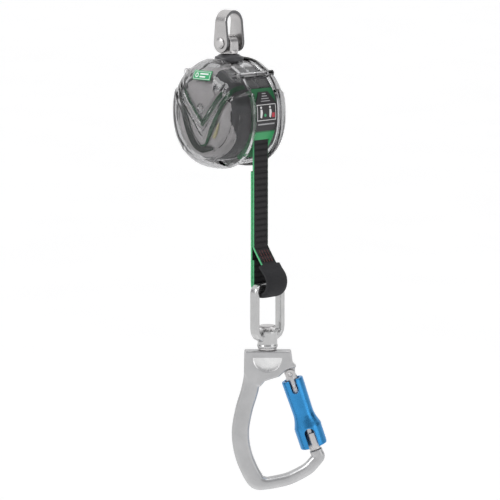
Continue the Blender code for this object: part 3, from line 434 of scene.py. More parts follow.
def smooth_through(points, per_span):
    """Points on a smooth curve through the given ones (Catmull-Rom)."""
    found = []
    n = len(points)
    for i in range(n - 1):
        p0, p1, p2, p3 = (Vector(points[min(max(i + k, 0), n - 1)]) for k in (-1, 0, 1, 2))
        for step in range(per_span):
            t = step / per_span
            value = 2 * p1 + (p2 - p0) * t + (2 * p0 - 5 * p1 + 4 * p2 - p3) * t * t
            found.append(tuple((value + (p3 - p0 + 3 * p1 - 3 * p2) * t * t * t) / 2))
    found.append(tuple(points[-1]))
    return found


def outward(path, i):
    """The unit vector square to a flat path at its point i, on the path's left."""
    before, after = Vector(path[max(i - 1, 0)]), Vector(path[min(i + 1, len(path) - 1)])
    ahead = (after - before).normalized()
    return Vector((-ahead.y, ahead.x))


def beside(path, i, distance):
    out = outward(path, i)
    return path[i][0] + out.x * distance, path[i][1] + out.y * distance


def shifted(path, distance):
    return [beside(path, i, distance) for i in range(len(path))]


def box(left, bottom, right, top):
    """A rectangle as an outline."""
    return [(left, bottom), (right, bottom), (right, top), (left, top)]


def moved(matrix, x, y, z):
    return matrix @ Matrix.Translation((x, y, z))


def soft_step(value, start, end):
    t = min(max((value - start) / (end - start), 0.0), 1.0)
    return t * t * (3 - 2 * t)


# ---------------------------------------------------------------- case

SQUARENESS = 2.3
TOP_SHARE = 0.96
SHOULDER = 0.045  # how far the case steps in above its shoulders
ROUNDS = 256  # points round the case


def outline_radius(angle, radius):
    """The case's rounded outline: a squared circle, drawn in above its shoulders."""
    c, s = math.cos(angle), math.sin(angle)
    reach = (abs(c) ** SQUARENESS + abs(s) ** SQUARENESS) ** (-1 / SQUARENESS)
    shoulder = soft_step(s, 0.38, 0.46) * soft_step(s, 1.0, 0.85)
    return radius * reach * math.hypot(c, s * (TOP_SHARE if s > 0 else 1.0)) * (1 - SHOULDER * shoulder)


def dome(name, profile, side, relief=None, offset=0.0, inner=()):
    """Half a case as rows of points from the middle of its face outwards, and back over its inner side.

    Without an inner side it stays an open sheet. relief(x, z) says how far the face is sunk there.
    """

    def lowered(x, z, y):
        return y - relief(x, z) if relief and y > 16.5 else y

    rows = list(profile) + list(inner)
    points = [(0.0, side * lowered(0.0, 0.0, profile[0][1] + offset), 0.0)]
    faces = []
    for row, (radius, width) in enumerate(rows):
        for i in range(ROUNDS):
            a = 2 * math.pi * i / ROUNDS
            r = outline_radius(a, radius + (offset if radius > 30 else 0.0))
            x, z = r * math.cos(a), r * math.sin(a)
            points.append((x, side * lowered(x, z, width + (offset if width > 1 else 0.0)), z))
            j = (i + 1) % ROUNDS
            if row == 0:
                faces.append((0, 1 + i, 1 + j))
            else:
                up, down = 1 + (row - 1) * ROUNDS, 1 + row * ROUNDS
                faces.append((up + i, down + i, down + j, up + j))
    if inner:
        points.append((0.0, side * lowered(0.0, 0.0, inner[-1][1]), 0.0))
        last = 1 + (len(rows) - 1) * ROUNDS
        faces += [(len(points) - 1, last + (i + 1) % ROUNDS, last + i) for i in range(ROUNDS)]
    mesh = bpy.data.meshes.new(name)
    mesh.from_pydata([ROW @ Vector(p) for p in points], [], faces)
    made = new_object(name, mesh)
    work = bmesh.new()
    work.from_mesh(mesh)
    bmesh.ops.recalc_face_normals(work, faces=work.faces)
    work.faces.ensure_lookup_table()
    if work.faces[0].normal.y * side < 0:
        bmesh.ops.reverse_faces(work, faces=work.faces)
    work.to_mesh(mesh)
    work.free()
    return made


def walled(obj, wall):
    step = obj.modifiers.new("Wall", "SOLIDIFY")
    step.thickness = wall * 0.001
    step.offset = -1.0
    return applied(obj)


def dense(controls, per_span, tail=()):
    return smooth_through(controls, per_span) + list(tail)


CASE_CURVE = [(4, 40), (14, 40), (27, 39.8), (39, 37.4), (47.5, 32.4), (53.4, 25.8), (56, 19), (55.2, 16.4)]
CASE_TAIL = [(54.0, 15.4), (52.5, 15.0), (52.5, 8.0), (52.5, 0.15)]
CASE_INSIDE = [(50.3, 0.15), (50.3, 8.0), (50.3, 13.4), (51.2, 13.8), (52.2, 15.2)]
CASE_INSIDE_CURVE = [(52.6, 19.0), (50.2, 24.0), (45.2, 29.9), (37.9, 35.0), (27, 37.8), (14, 38), (4, 38)]
INNER_CURVE = [(4, 36), (18, 36), (28, 35.9), (39.5, 32), (45.4, 26), (47, 18)]
INNER_TAIL = [(47, 9), (47, 0.15)]
POSTS = [(48, 52.7), (132, 52.7), (228, 52.7), (292, 51.7)]


def vee(x, z, slope=1.2):
    """How far a point lies above a V-shaped line through the face's centre, across the V's arms."""
    return (z - slope * math.hypot(x, 1.2)) / math.hypot(1.0, slope)


def shell_relief(x, z):
    """Steps and grooves moulded in the clear face: folds that follow the V, and a small boss over it."""
    v = vee(x, z)
    drop = 0.9 * soft_step(-v, 2.0, 3.0) - 0.9 * soft_step(-v, 6.0, 7.0)
    drop += 0.9 * soft_step(-v, 9.4, 10.2) - 0.7 * soft_step(-v, 11.6, 12.4)
    drop += 0.9 * soft_step(-v, 14.0, 14.8) - 0.6 * soft_step(-v, 17.0, 17.8)
    drop += 0.7 * soft_step(-v, 21.6, 22.6)
    ring = math.hypot(x, z - 6.0)
    drop -= 1.4 * soft_step(ring, 4.6, 4.0) - 1.8 * soft_step(ring, 3.2, 2.6)
    r = math.hypot(x, z)
    lower = soft_step(x + 4.0, 0.0, 16.0) * soft_step(-z, -14.0, 2.0)
    folds = 0.8 * soft_step(r, 34.5, 35.3) - 0.8 * soft_step(r, 38.0, 38.8)
    folds += 0.6 * soft_step(r, 42.0, 42.8) - 0.6 * soft_step(r, 44.6, 45.4)
    return drop * soft_step(r, 46.0, 38.0) + folds * lower


def clear_shells():
    for side, word in ((-1, "left"), (1, "right")):
        inside = CASE_INSIDE + dense(CASE_INSIDE_CURVE, 12)
        outside = dense(CASE_CURVE, 12, CASE_TAIL)
        skin = dome(f"{word}_clear_shell", outside, side, shell_relief, inner=inside)
        for angle, distance in POSTS:
            a = math.radians(angle)
            x, z = distance * math.cos(a), distance * math.sin(a)
            ends = ((x, side * 0.3, z), (x, side * 25.0, z))
            skin = boolean(skin, rod("post", 3.2, *ends, ROW, 24), "UNION")
            reach = 45.0 if side < 0 else 16.0
            skin = boolean(skin, rod("hole", 1.9, (x, -side, z), (x, side * reach, z), ROW, 20))
            if side < 0:
                skin = boolean(skin, rod("seat", 2.8, (x, -21.1, z), (x, -45, z), ROW, 20))
        wedge = [(0.0, 0.0)] + arc((0, 0), 72.0, 31.0, -58.0, 25)
        skin = boolean(skin, slab("nose", [wedge], 32.0, ROW @ ALONG_Y))
        skin = boolean(skin, rod("neck", 10.5, (0, 0, 40), (0, 0, 70), ROW, 48))
        piece(skin, CLEAR, "case", [f"{word}_shell"], 28.0)


def inner_relief(x, z):
    v = vee(x, z)
    drop = 1.2 * soft_step(-v, 1.0, 2.4) - 0.6 * soft_step(-v, 7.6, 8.6)
    drop += 0.9 * soft_step(-v, 10.5, 12.0) - 0.7 * soft_step(-v, 16.5, 18.0)
    return drop * soft_step(math.hypot(x, z), 42.0, 36.0)


def inner_casings():
    for side, word in ((-1, "left"), (1, "right")):
        skin = dome(f"{word}_inner_cover", dense(INNER_CURVE, 10, INNER_TAIL), side, inner_relief)
        skin = walled(skin, 1.8)
        wedge = [(0.0, 0.0)] + arc((0, 0), 72.0, 33.0, -60.0, 25)
        skin = boolean(skin, slab("nose", [wedge], 33.0, ROW @ ALONG_Y))
        skin = boolean(skin, rod("neck", 10.4, (0, 0, 36), (0, 0, 60), ROW, 48))
        piece(skin, DARK, "case", [f"{word}_inner_casing"], 30.0)
        skin.data.materials.append(FACE_GREY)
        skin.data.materials.append(FACE_LIGHT)
        # Faces standing out past a |Y| of about 32.5 mm (less lower down) are mid grey and the rim inside
        # that line dark grey; the line is set to darken the upper shoulder too, a painted shade. The upper
        # face left of x 13 is paler, and the dark patch right of x 14 above z 24.5 is painted shade.
        for face in skin.data.polygons:
            x, y, z = face.center * 1000
            z += DRUM_DROP
            if abs(y) > 32.5 - 4.0 * soft_step(-z, 5.0, 25.0):
                face.material_index = 1
            if z > 35.5 and x < 13.0:
                face.material_index = 2
            if x > 14.0 and z > 24.5:
                face.material_index = 0


def band(name, outline, side, lift, wall, finish, replaces=()):
    """A moulded band that follows the inner casing inside an outline drawn on its face."""
    skin = walled(dome(name, dense(INNER_CURVE, 10, INNER_TAIL), side, None, lift + wall), wall)
    cutter = slab("outline", [outline], 32.0, moved(ROW, 0, side * 33.0, 0) @ ALONG_Y)
    skin = boolean(skin, cutter, "INTERSECT")
    return piece(skin, finish, "case", replaces, 30.0)


def vee_outline(vertex, reach, rise, width):
    down = width * math.hypot(reach, rise) / reach
    shape = [(0, vertex), (reach, vertex + rise), (reach, vertex + rise - down), (0, vertex - down)]
    return shape + [(-reach, vertex + rise - down), (-reach, vertex + rise)]


def stripe(middle, widths):
    """The outline of a stripe of changing width along a curve."""
    line = smooth_through(middle, 6)
    upper, lower = [], []
    for i in range(len(line)):
        at = i / (len(line) - 1) * (len(widths) - 1)
        k = min(int(at), len(widths) - 2)
        half = (widths[k] + (widths[k + 1] - widths[k]) * (at - k)) / 2
        upper.append(beside(line, i, half))
        lower.append(beside(line, i, -half))
    return upper + lower[::-1]


def bands_and_plates():
    right_arm = [(-3, -31.5), (3.5, -30.2), (7.5, -25.5), (12.5, -15), (17.2, -6.4), (21.7, 1.5)]
    right_arm += [(26.3, 9.5), (31.5, 18), (36.5, 25.5), (40.5, 30), (44.5, 32), (50, 31)]
    left_arm = [(-33.5, 26), (-30, 12), (-24.5, -5), (-18.5, -20), (-12, -30.5), (-4, -35), (6, -34.2)]
    left_arm += [(13, -33)]
    for side, word in ((-1, "left"), (1, "right")):
        outer = stripe(right_arm, (1.0, 4.2, 4.6, 4.2, 4.0))
        replaced = [f"{word}_outer_chevron"]
        band(f"{word}_outer_band", outer, side, 0.5, 0.8, BAND_GREEN, replaced)
        # The outer V's left arm and the ground below it, in dark green-grey: partly the band, partly
        # painted shade.
        shaded_arm = stripe(left_arm, (5.0, 7.6, 8.2, 7.2, 3.0))
        band(f"{word}_outer_shaded_arm", shaded_arm, side, 0.2, 0.6, BAND_DARK)
        inner = vee_outline(-6.0, 26.0, 31.0, 4.0)
        replaced = [f"{word}_inner_chevron"]
        band(f"{word}_inner_band", inner, side, 0.3, 0.8, BAND_GREEN, replaced)
        glimpse = stripe([(15.5, -22.5), (19.0, -17.0), (23.0, -7.0)], (3.4, 4.0, 1.6))
        band(f"{word}_spring_glimpse", glimpse, side, 0.1, 0.5, BEIGE)
        shield = [(-15.5, 24.5), (15.5, 24.5), (17.5, 20.5), (1.0, 0.8), (-1.0, 0.8), (-17.5, 20.5)]
        plate = slab(f"{word}_grey_shield", [shield], 1.0, moved(ROW, 0, side * 36.8, 0) @ ALONG_Y, 0.25)
        piece(plate, PLATE_GREY, "case", [f"{word}_shield_plate"])


def badge():
    """The badge on the left face: green, with a white rim and plain white marks."""

    def patch(name, outline, lift, wall, finish, replaces=()):
        skin = walled(dome(name, dense(CASE_CURVE, 12, CASE_TAIL), -1, None, lift + wall), wall)
        cutter = slab("outline", outline, 24.0, moved(ROW, 0, -34, 0) @ ALONG_Y)
        piece(boolean(skin, cutter, "INTERSECT"), finish, "case", replaces, 30.0)

    patch("badge_plate", [box(-12.2, 34.3, 12.2, 43.2)], 0.3, 0.7, BADGE_GREEN, ["badge"])
    ring = (-6.6, 38.75)
    marks = {
        "badge_rim": [box(-11.4, 35.0, 11.4, 42.5), box(-11.0, 35.4, 11.0, 42.1)],
        "badge_ring": [circle(ring, 2.3, 32), circle(ring, 1.3, 32)],
        "badge_bar": [box(-2.4, 39.5, 9.0, 40.9)],
        "badge_short_bar": [box(-2.4, 36.7, 5.4, 38.1)],
    }
    for name, outline in marks.items():
        patch(name, outline, 1.0, 0.06, LABEL_WHITE)


def level_cut(work, at):
    geometry = work.verts[:] + work.edges[:] + work.faces[:]
    bmesh.ops.bisect_plane(work, geom=geometry, plane_co=at, plane_no=Vector((0, 0, 1)))


def nose():
    """The green moulding that leads the web out, rounded at its lip."""
    outline = arc((0, 0), 51.9, 30.4, -57.4, 49) + arc((0, 0), 39.5, -57.4, 30.4, 33)
    guide = slab("green_web_guide", [outline], 31.4, ROW @ ALONG_Y, 1.0)
    way = [(45.6, -25.0), (45.6, -60), (28, -60), (28, 8), (37.5, 8), (39.0, -2)]
    guide = boolean(guide, slab("way", [way], 22.4, ROW @ ALONG_Y))
    mouth = [(45.5, -27.0), (54, -30.5), (54, -60), (45.5, -60)]
    guide = boolean(guide, slab("mouth", [mouth], 23.2, ROW @ ALONG_Y))
    work = bmesh.new()
    work.from_mesh(guide.data)
    line = ROW @ Vector((0, 0, NOSE_LINE))
    level_cut(work, line)
    work.to_mesh(guide.data)
    work.free()
    piece(guide, GREEN, "case", ["web_guide"], 32.0)
    guide.data.materials.append(GREEN_DARK)
    for face in guide.data.polygons:
        if face.center.z > line.z:
            face.material_index = 1


def decal(name, outlines, finish):
    """A thin printed shape wrapped on the nose: outlines are (Y, Z) in millimetres."""
    flat = slab(name, outlines, 1.0, ROW @ ALONG_X)
    work = bmesh.new()
    work.from_mesh(flat.data)
    low = min(v.co.z for v in work.verts)
    high = max(v.co.z for v in work.verts)
    count = int((high - low) * 1000)
    for k in range(1, count + 1):
        level_cut(work, Vector((0, 0, low + k * (high - low) / (count + 1))))
    for vertex in work.verts:
        z = vertex.co.z * 1000 + DRUM_DROP
        radius = 53.06 if vertex.co.x > 0 else 53.0
        vertex.co.x = math.sqrt(max(radius * radius - z * z, 1.0)) * 0.001
    work.to_mesh(flat.data)
    work.free()
    piece(flat, finish, "case")


def label():
    """The black label on the nose, with plain bars where a label has print."""
    decal("label_frame", [box(-13.0, -5.0, 13.0, 11.0), box(-12.4, -4.4, 12.4, 10.4)], LABEL_WHITE)
    for index, (half, z) in enumerate(((2.6, 21.0), (3.6, 18.6), (5.0, 16.2), (6.4, 13.8))):
        decal(f"label_line_{index + 1}", [box(-half, z, half, z + 0.8)], LABEL_GREY)
    decal("label_lower_line", [box(-11.5, -9.4, 11.5, -8.0)], LABEL_GREY)
    for index, y in enumerate((-7.2, 5.2)):
        body = [(y - 1.7, -1.5), (y + 0.4, -2.6), (y + 1.8, 3.2), (y + 1.2, 6.0), (y - 1.3, 6.2)]
        decal(f"label_figure_{index + 1}", [body], LABEL_WHITE)
        decal(f"label_head_{index + 1}", [circle((y - 0.2, 8.0), 1.2, 20)], LABEL_WHITE)
    decal("label_dot", [circle((-2.0, 0.2), 1.5, 24)], LABEL_GREEN)
    decal("label_bar", [box(7.4, -2.4, 11.2, 2.2)], LABEL_RED)


# ---------------------------------------------------------------- swivel and bail


def bail_and_swivel():
    inner, thick = 9.45, 3.0
    outer = inner + thick
    spring_line = DRUM_DROP - inner
    strap = [(outer, 50.0)] + arc((0, spring_line), outer, 0, 180, 49) + [(-outer, 50.0), (-inner, 50.0)]
    strap += arc((0, spring_line), inner, 180, 0, 49) + [(inner, 50.0)]
    bent = slab("anchor_bail_strap", [strap], 30.0, ROW @ ALONG_X)
    taper = math.degrees(math.atan2(9.5 - 7.0, 24.0))
    face = arc((0, BAIL_PIN), 9.5, 180 - taper, 360 + taper, 41)
    face += [(7.0, spring_line + 4.0), (7.0, 110.0), (-7.0, 110.0), (-7.0, spring_line + 4.0)]
    bent = boolean(bent, slab("face", [face], 40.0, ROW @ ALONG_Y), "INTERSECT")
    bent = boolean(bent, rod("hole", 4.3, (0, -20, BAIL_PIN), (0, 20, BAIL_PIN), ROW, 48))
    bent = forged("anchor_bail_strap", [bent], 0.32, 2)
    piece(bent, BAIL_METAL, "bail", ["bail_strap"], 180)
    bent.data.materials.append(BAIL_EDGE_REFLECTION)
    # The strap's side edges take the near-black metal, a painted dark reflection.
    for face in bent.data.polygons:
        if abs(face.normal.x) > 0.72:
            face.material_index = 1
    head = outer + 0.3
    profile = [(0, 14.9), (3.6, 14.9), (4.0, 14.5), (4.0, -head), (5.4, -head), (5.7, -head - 0.5)]
    profile += [(5.3, -head - 1.2), (4.4, -head - 1.5), (4.2, -head - 2.0)]
    profile += [(2.8, -head - 2.4), (0, -head - 2.4)]
    rivet = lathe("bail_rivet", profile, moved(ROW, 0, 0, BAIL_PIN) @ AXIS_Y, 48)
    piece(rivet, PIN_METAL, "bail", ["bail_pin"], 30)
    lug = [(-8.0, 60.0)] + arc((0, BAIL_PIN), 8.0, 180, 0, 33) + [(8.0, 60.0)]
    parts = [slab("lug", [lug], 12.0, ROW @ ALONG_Y, 1.2)]
    stud = [(0, 62.5), (6.6, 62.5), (8.8, 61.0), (8.8, 58.0), (5.0, 57.6), (5.0, 35.4)]
    stud += [(4.2, 34.7), (0, 34.7)]
    parts.append(lathe("stud", stud, ROW, 48))
    block = forged("anchor_swivel_block", parts, 0.4, 3)
    block = boolean(block, rod("hole", 4.3, (0, -20, BAIL_PIN), (0, 20, BAIL_PIN), ROW, 32))
    piece(block, BAIL_METAL, "swivel", ["swivel_block"], 30)
    collar = [(6.0, 57.3), (9.2, 57.3), (10.4, 56.9), (11.2, 56.0), (14.0, 54.9), (14.4, 54.2)]
    collar += [(14.4, 51.4), (9.8, 51.4), (9.8, 48.0), (6.0, 48.0)]
    piece(lathe("neck_collar", collar, ROW, 64), DARK, "case", ["swivel_collar"], 30)


# ---------------------------------------------------------------- web and sleeve

WEB_FRONT, WEB_THICK, WEB_HALF = 45.1, 2.2, 10.3
TAIL = WEB_FRONT - 2 * WEB_THICK - 0.4
SLEEVE_BACK = 45.0  # the sleeve covers the loop in front of this
SLOPE_END = -148.0  # below this the loop leaves its straight slope
BEND = smooth_through(
    [(WEB_FRONT, -130.0), (46.3, -133.5), (58.6, -150.0), (66.2, -158.5), (68.4, -166.0), (66.2, -173.8),
     (60.4, -179.2), (53.4, -180.2), (46.6, -178.9), (41.9, -174.6), (TAIL, -168.0), (TAIL, -150.0)], 10)


def strap(name, path, thick, half, rib=0.0, rib_pitch=5.8, edge=0.5):
    """A woven strap along a path of (X, Z) points, with a rounded section and shallow cross ribs."""
    section = [(-half, 0.35), (-half + edge, 0.0), (0.0, 0.0), (half - edge, 0.0), (half, 0.35)]
    section += [(-y, 1 - t) for y, t in section]
    fine = [path[0]]
    for a, b in zip(path, path[1:]):
        steps = max(1, int(math.dist(a, b) / 0.7))
        for k in range(1, steps + 1):
            fine.append((a[0] + (b[0] - a[0]) * k / steps, a[1] + (b[1] - a[1]) * k / steps))
    points, faces = [], []
    n = len(section)
    travelled = 0.0
    for i, (x, z) in enumerate(fine):
        if i:
            travelled += math.dist(fine[i - 1], fine[i])
        out = outward(fine, i)
        swell = rib * abs(math.sin(math.pi * travelled / rib_pitch)) ** 0.6
        for y, t in section:
            depth = -thick * t
            depth += (swell - rib) * (1 if t < 0.5 else -1) * (1 if abs(y) < half - 0.1 else 0.3)
            points.append((x + out.x * depth, y, z + out.y * depth))
    for i in range(len(fine) - 1):
        for k in range(n):
            m = (k + 1) % n
            faces.append((i * n + k, i * n + m, (i + 1) * n + m, (i + 1) * n + k))
    faces.append(tuple(range(n)))
    faces.append(tuple(range((len(fine) - 1) * n, len(fine) * n)))
    return from_points(name, points, faces, ROW)


def webbing():
    run = [(WEB_FRONT, WEB_START), (WEB_FRONT, WEB_END)]
    line = strap("paying_out_web", run, WEB_THICK, WEB_HALF, 0.12)
    line.data.materials.append(WEB)
    smooth_shade(line, 30)
    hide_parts("web_line")
    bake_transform(line)
    path = [(WEB_FRONT, -56.0)] + BEND + [(TAIL, -56.0)]
    loop = strap("sewn_web_loop", path, WEB_THICK, WEB_HALF, 0.16)
    piece(loop, WEB, "line_end", ["web_loop"], 30)
    fold = strap("web_tail_fold", [(WEB_FRONT, -145.0), (WEB_FRONT, -171.0)], WEB_THICK, WEB_HALF, 0.12)
    piece(fold, WEB, "line_end", (), 30)
    inside = shifted([point for point in BEND if point[1] < SLOPE_END], -WEB_THICK - 0.3)
    liner = strap("bar_liner", inside[3:-6], 1.2, WEB_HALF - 0.3)
    piece(liner, LINER, "line_end", ["loop_liner"], 30)
    stitches()


def stitches():
    """Rows of thread that hold the two layers together above the sleeve."""
    parts = []
    slope = [p for p in BEND if -149.0 < p[1] < -134.0]
    start, end = Vector(slope[0]), Vector(slope[-1])
    along = (end - start).normalized()
    out = Vector((-along.y, along.x))
    length = (end - start).length
    for row in (-5.4, -1.8, 1.8, 5.4):
        at = 1.0
        while at + 2.6 < length:
            a = start + along * at + out * 0.15
            b = start + along * (at + 2.6) + out * 0.15
            parts.append(rod("stitch", 0.42, (a.x, row, a.y), (b.x, row, b.y), ROW, 8))
            at += 3.5
    piece(joined("slope_stitches", parts), THREAD, "line_end", (), 60)
    parts = []
    for row in (-7.6, 7.6):
        z = -62.0
        while z > -128.0:
            ends = ((WEB_FRONT + 0.05, row, z), (WEB_FRONT + 0.05, row, z - 2.4))
            parts.append(rod("stitch", 0.35, *ends, ROW, 8))
            z -= 3.4
    piece(joined("edge_stitches", parts), BLACK_THREAD, "line_end", (), 60)


def wear_sleeve():
    """The tubular sleeve round the loop: a soft flattened tube with open, hemmed ends."""
    line = [point for point in BEND if point[1] < SLOPE_END and point[0] > SLEEVE_BACK]
    around = 56

    def ring(half, low, high, flatness):
        found = []
        for k in range(around):
            a = 2 * math.pi * k / around
            c, s = math.cos(a), math.sin(a)
            u = math.copysign(abs(c) ** (2 / flatness), c) * half
            v = math.copysign(abs(s) ** 0.8, s) * (high - low) / 2 + (high + low) / 2
            found.append((u, v))
        return found

    points, faces = [], []
    rows = len(line)
    for outer in (True, False):
        for i, (x, z) in enumerate(line):
            out = outward(line, i)
            end = min(i, rows - 1 - i) / (rows - 1)
            hem = 0.3 * (1 - soft_step(end, 0.03, 0.06))
            section = ring(14.0, -4.1 - hem, 1.7 + hem, 5.0) if outer else ring(12.9, -3.9, 0.5, 5.0)
            for across, lift in section:
                points.append((x + out.x * lift, across, z + out.y * lift))
    for layer in range(2):
        for i in range(rows - 1):
            for k in range(around):
                m = (k + 1) % around
                a, c = (layer * rows + i) * around, (layer * rows + i + 1) * around
                faces.append((a + k, a + m, c + m, c + k) if layer == 0 else (a + k, c + k, c + m, a + m))
    for i in (0, rows - 1):
        for k in range(around):
            m = (k + 1) % around
            a, c = i * around, (rows + i) * around
            faces.append((a + k, a + m, c + m, c + k))
    made = from_points("loop_wear_sleeve", points, faces, ROW)
    piece(made, SLEEVE, "line_end", ["wear_sleeve"], 50)


# ---------------------------------------------------------------- eye and karabiner


def tube(name, path, section, matrix, closed=False):
    """A section carried along a path in the matrix's XZ plane.

    section(share) gives the radii in the plane and across it, and how square the section is.
    """
    points, faces = [], []
    count, around = len(path), 28
    for i, p in enumerate(path):
        before = Vector(path[(i - 1) % count] if closed else path[max(i - 1, 0)])
        after = Vector(path[(i + 1) % count] if closed else path[min(i + 1, count - 1)])
        along = (after - before).normalized()
        side = Vector((along.z, 0, -along.x))
        wide, deep, power = section(i / (count - 1))
        for k in range(around):
            a = 2 * math.pi * k / around
            c, s = math.cos(a), math.sin(a)
            u = math.copysign(abs(c) ** (2 / power), c) * wide
            v = math.copysign(abs(s) ** (2 / power), s) * deep
            q = Vector(p) + side * u
            points.append((q.x, q.y + v, q.z))
    for i in range(count if closed else count - 1):
        j = (i + 1) % count
        for k in range(around):
            m = (k + 1) % around
            faces.append((i * around + k, i * around + m, j * around + m, j * around + k))
    if not closed:
        faces.append(tuple(range(around)))
        faces.append(tuple(range((count - 1) * around, count * around)))
    return from_points(name, points, faces, matrix)


def swivel_eye():
    turned = moved(ROW, EYE_X, 0, 0) @ Matrix.Rotation(math.pi / 2, 4, "Z")
    mid, top = 17.8, -170.4
    path = [(x, 0, z) for x, z in arc((mid - 6.5, top - 6.5), 6.5, 90, 0, 9)]
    path += [(mid, 0, z) for z in (-185, -195, -205, -212)]
    path += [(mid - 0.7, 0, -216.6), (mid - 3.2, 0, -220.4), (10.5, 0, -222.6), (4.0, 0, -223.0)]
    full = path + [(-x, y, z) for x, y, z in path[::-1]]
    ring = tube("ring", full, lambda t: (3.1, 4.9, 3.6), turned, closed=True)
    hub = [(0, -215.2), (9.0, -215.2), (9.8, -215.7), (10.1, -216.8), (10.0, -224.0), (9.9, -228.6)]
    hub += [(10.1, -229.6), (10.5, -230.4), (10.5, -231.8), (9.9, -232.6), (0, -232.6)]
    core = lathe("hub", hub, moved(ROW, EYE_X, 0, 0), 56)
    body = forged("swivel_eye_link", [ring, core], 0.42, 3)
    body = boolean(body, rod("bore", 4.8, (EYE_X, 0, -205), (EYE_X, 0, -240), ROW, 40))
    piece(body, EYE_METAL, "eye", ["swivel_eye"], 60)
    head = -212.7
    rivet = [(0, head + 2.2), (7.7, head + 2.2), (8.4, head + 1.9), (8.7, head + 1.2)]
    rivet += [(8.7, head), (4.5, head), (4.5, -247), (0, -247)]
    rivet = lathe("hook_rivet", rivet, moved(ROW, EYE_X, 0, 0), 48)
    piece(rivet, PIN_METAL, "hook", ["swivel_rivet"], 30)


def gate_point(along, across=0.0):
    x = HINGE[0] + along * math.sin(LEAN) + across * math.cos(LEAN)
    z = HINGE[1] - along * math.cos(LEAN) + across * math.sin(LEAN)
    return x, z


def karabiner():
    """The forged body: a flat spine, a round basket and a squared top with two shallow dishes."""
    middle = [(-14.6, -252.0), (-15.2, -264.0), (-18.2, -278.5), (-23.6, -297.0), (-27.0, -319.0)]
    middle += [(-24.6, -339.5), (-18.2, -357.0), (-10.8, -369.0), (-2.0, -371.6), (8.0, -370.2)]
    middle += [(20.6, -367.2), (31.8, -362.0), (41.0, -356.4), (46.6, -350.4)]
    middle += [gate_point(89.0, 0.6), gate_point(85.5, 0.2), gate_point(81.4, 0.0)]
    path = [(x, 0, z) for x, z in smooth_through(middle, 6)]

    def section(t):
        spine = soft_step(t, 0.52, 0.42)
        wide = 6.3 + 2.5 * spine
        deep = 6.4 + 0.1 * spine
        end = soft_step(t, 0.90, 0.99)
        return wide + 0.3 * end, deep, 2.5 + 1.1 * spine

    limb = tube("limb", path, section, HOOK)
    block = [(-22.2, -235.4), (22.7, -235.4), (23.7, -236.4), (25.4, -248.0), (29.0, -252.2)]
    block += [(22.8, -253.8), (19.0, -255.2), (15.2, -258.6), (11.5, -262.0), (-2.6, -266.6)]
    block += [(-7.0, -272.0), (-20.0, -268.0), (-23.6, -259.0), (-23.2, -236.4)]
    top = slab("top", [block], 13.0, HOOK @ ALONG_Y, 1.8)
    body = forged("karabiner_frame", [limb, top], 0.55, 4)
    for side in (-1, 1):
        bowl = [(0, -1.5), (8.0, -1.4), (12.0, -1.0), (14.6, -0.2), (15.8, 0.8), (15.8, 6.0), (0, 6.0)]
        place = moved(HOOK, 0, side * HOOK_HALF, DISH) @ Matrix.Rotation(-side * math.pi / 2, 4, "X")
        dish = lathe("dish", bowl, place, 64)
        keep = slab("keep", [box(-20, -262, 20, DISH + 0.2)], 40.0, HOOK @ ALONG_Y)
        dish = boolean(dish, keep, "INTERSECT")
        body = boolean(body, dish)
    x, z = HINGE
    tang = [(15.0, -250.0), (17.4, z - 1.0)] + arc((x, z), 4.6, 200, 350, 17) + [(28.0, -250.0)]
    body = boolean(body, slab("tang", [tang], 5.0, HOOK @ ALONG_Y, 0.5), "UNION")
    tongue = [gate_point(*spot) for spot in ((86.0, -3.0), (86.0, 3.0), (60.0, 3.0), (60.0, -3.0))]
    body = boolean(body, slab("tongue", [tongue], 5.0, HOOK @ ALONG_Y, 0.5), "UNION")
    body = boolean(body, rod("rivet_hole", 4.8, (0, 0, -230), (0, 0, -253), HOOK, 32))
    body = boolean(body, rod("hinge_hole", 2.3, (x, -20, z), (x, 20, z), HOOK, 24))
    piece(body, STEEL, "hook", ["karabiner_body"], 42)
    body.data.materials.append(DISH_HIGHLIGHT)
    # Faces in the dishes take the brighter alloy: a painted highlight on the dish floors.
    inward = HOOK.inverted()
    for face in body.data.polygons:
        spot = inward @ face.center
        if math.hypot(spot.x, spot.z - DISH) < 15.5 and spot.z < DISH and abs(spot.y) < HOOK_HALF - 0.2:
            face.material_index = 1
    profile = [(0, 6.1), (1.6, 6.1), (2.0, 5.8), (2.0, -5.8), (1.6, -6.1), (0, -6.1)]
    pin = lathe("hinge_rivet", profile, moved(HOOK, x, 0, z) @ AXIS_Y, 28)
    piece(pin, PIN_METAL, "hook", ["gate_hinge_pin"], 30)


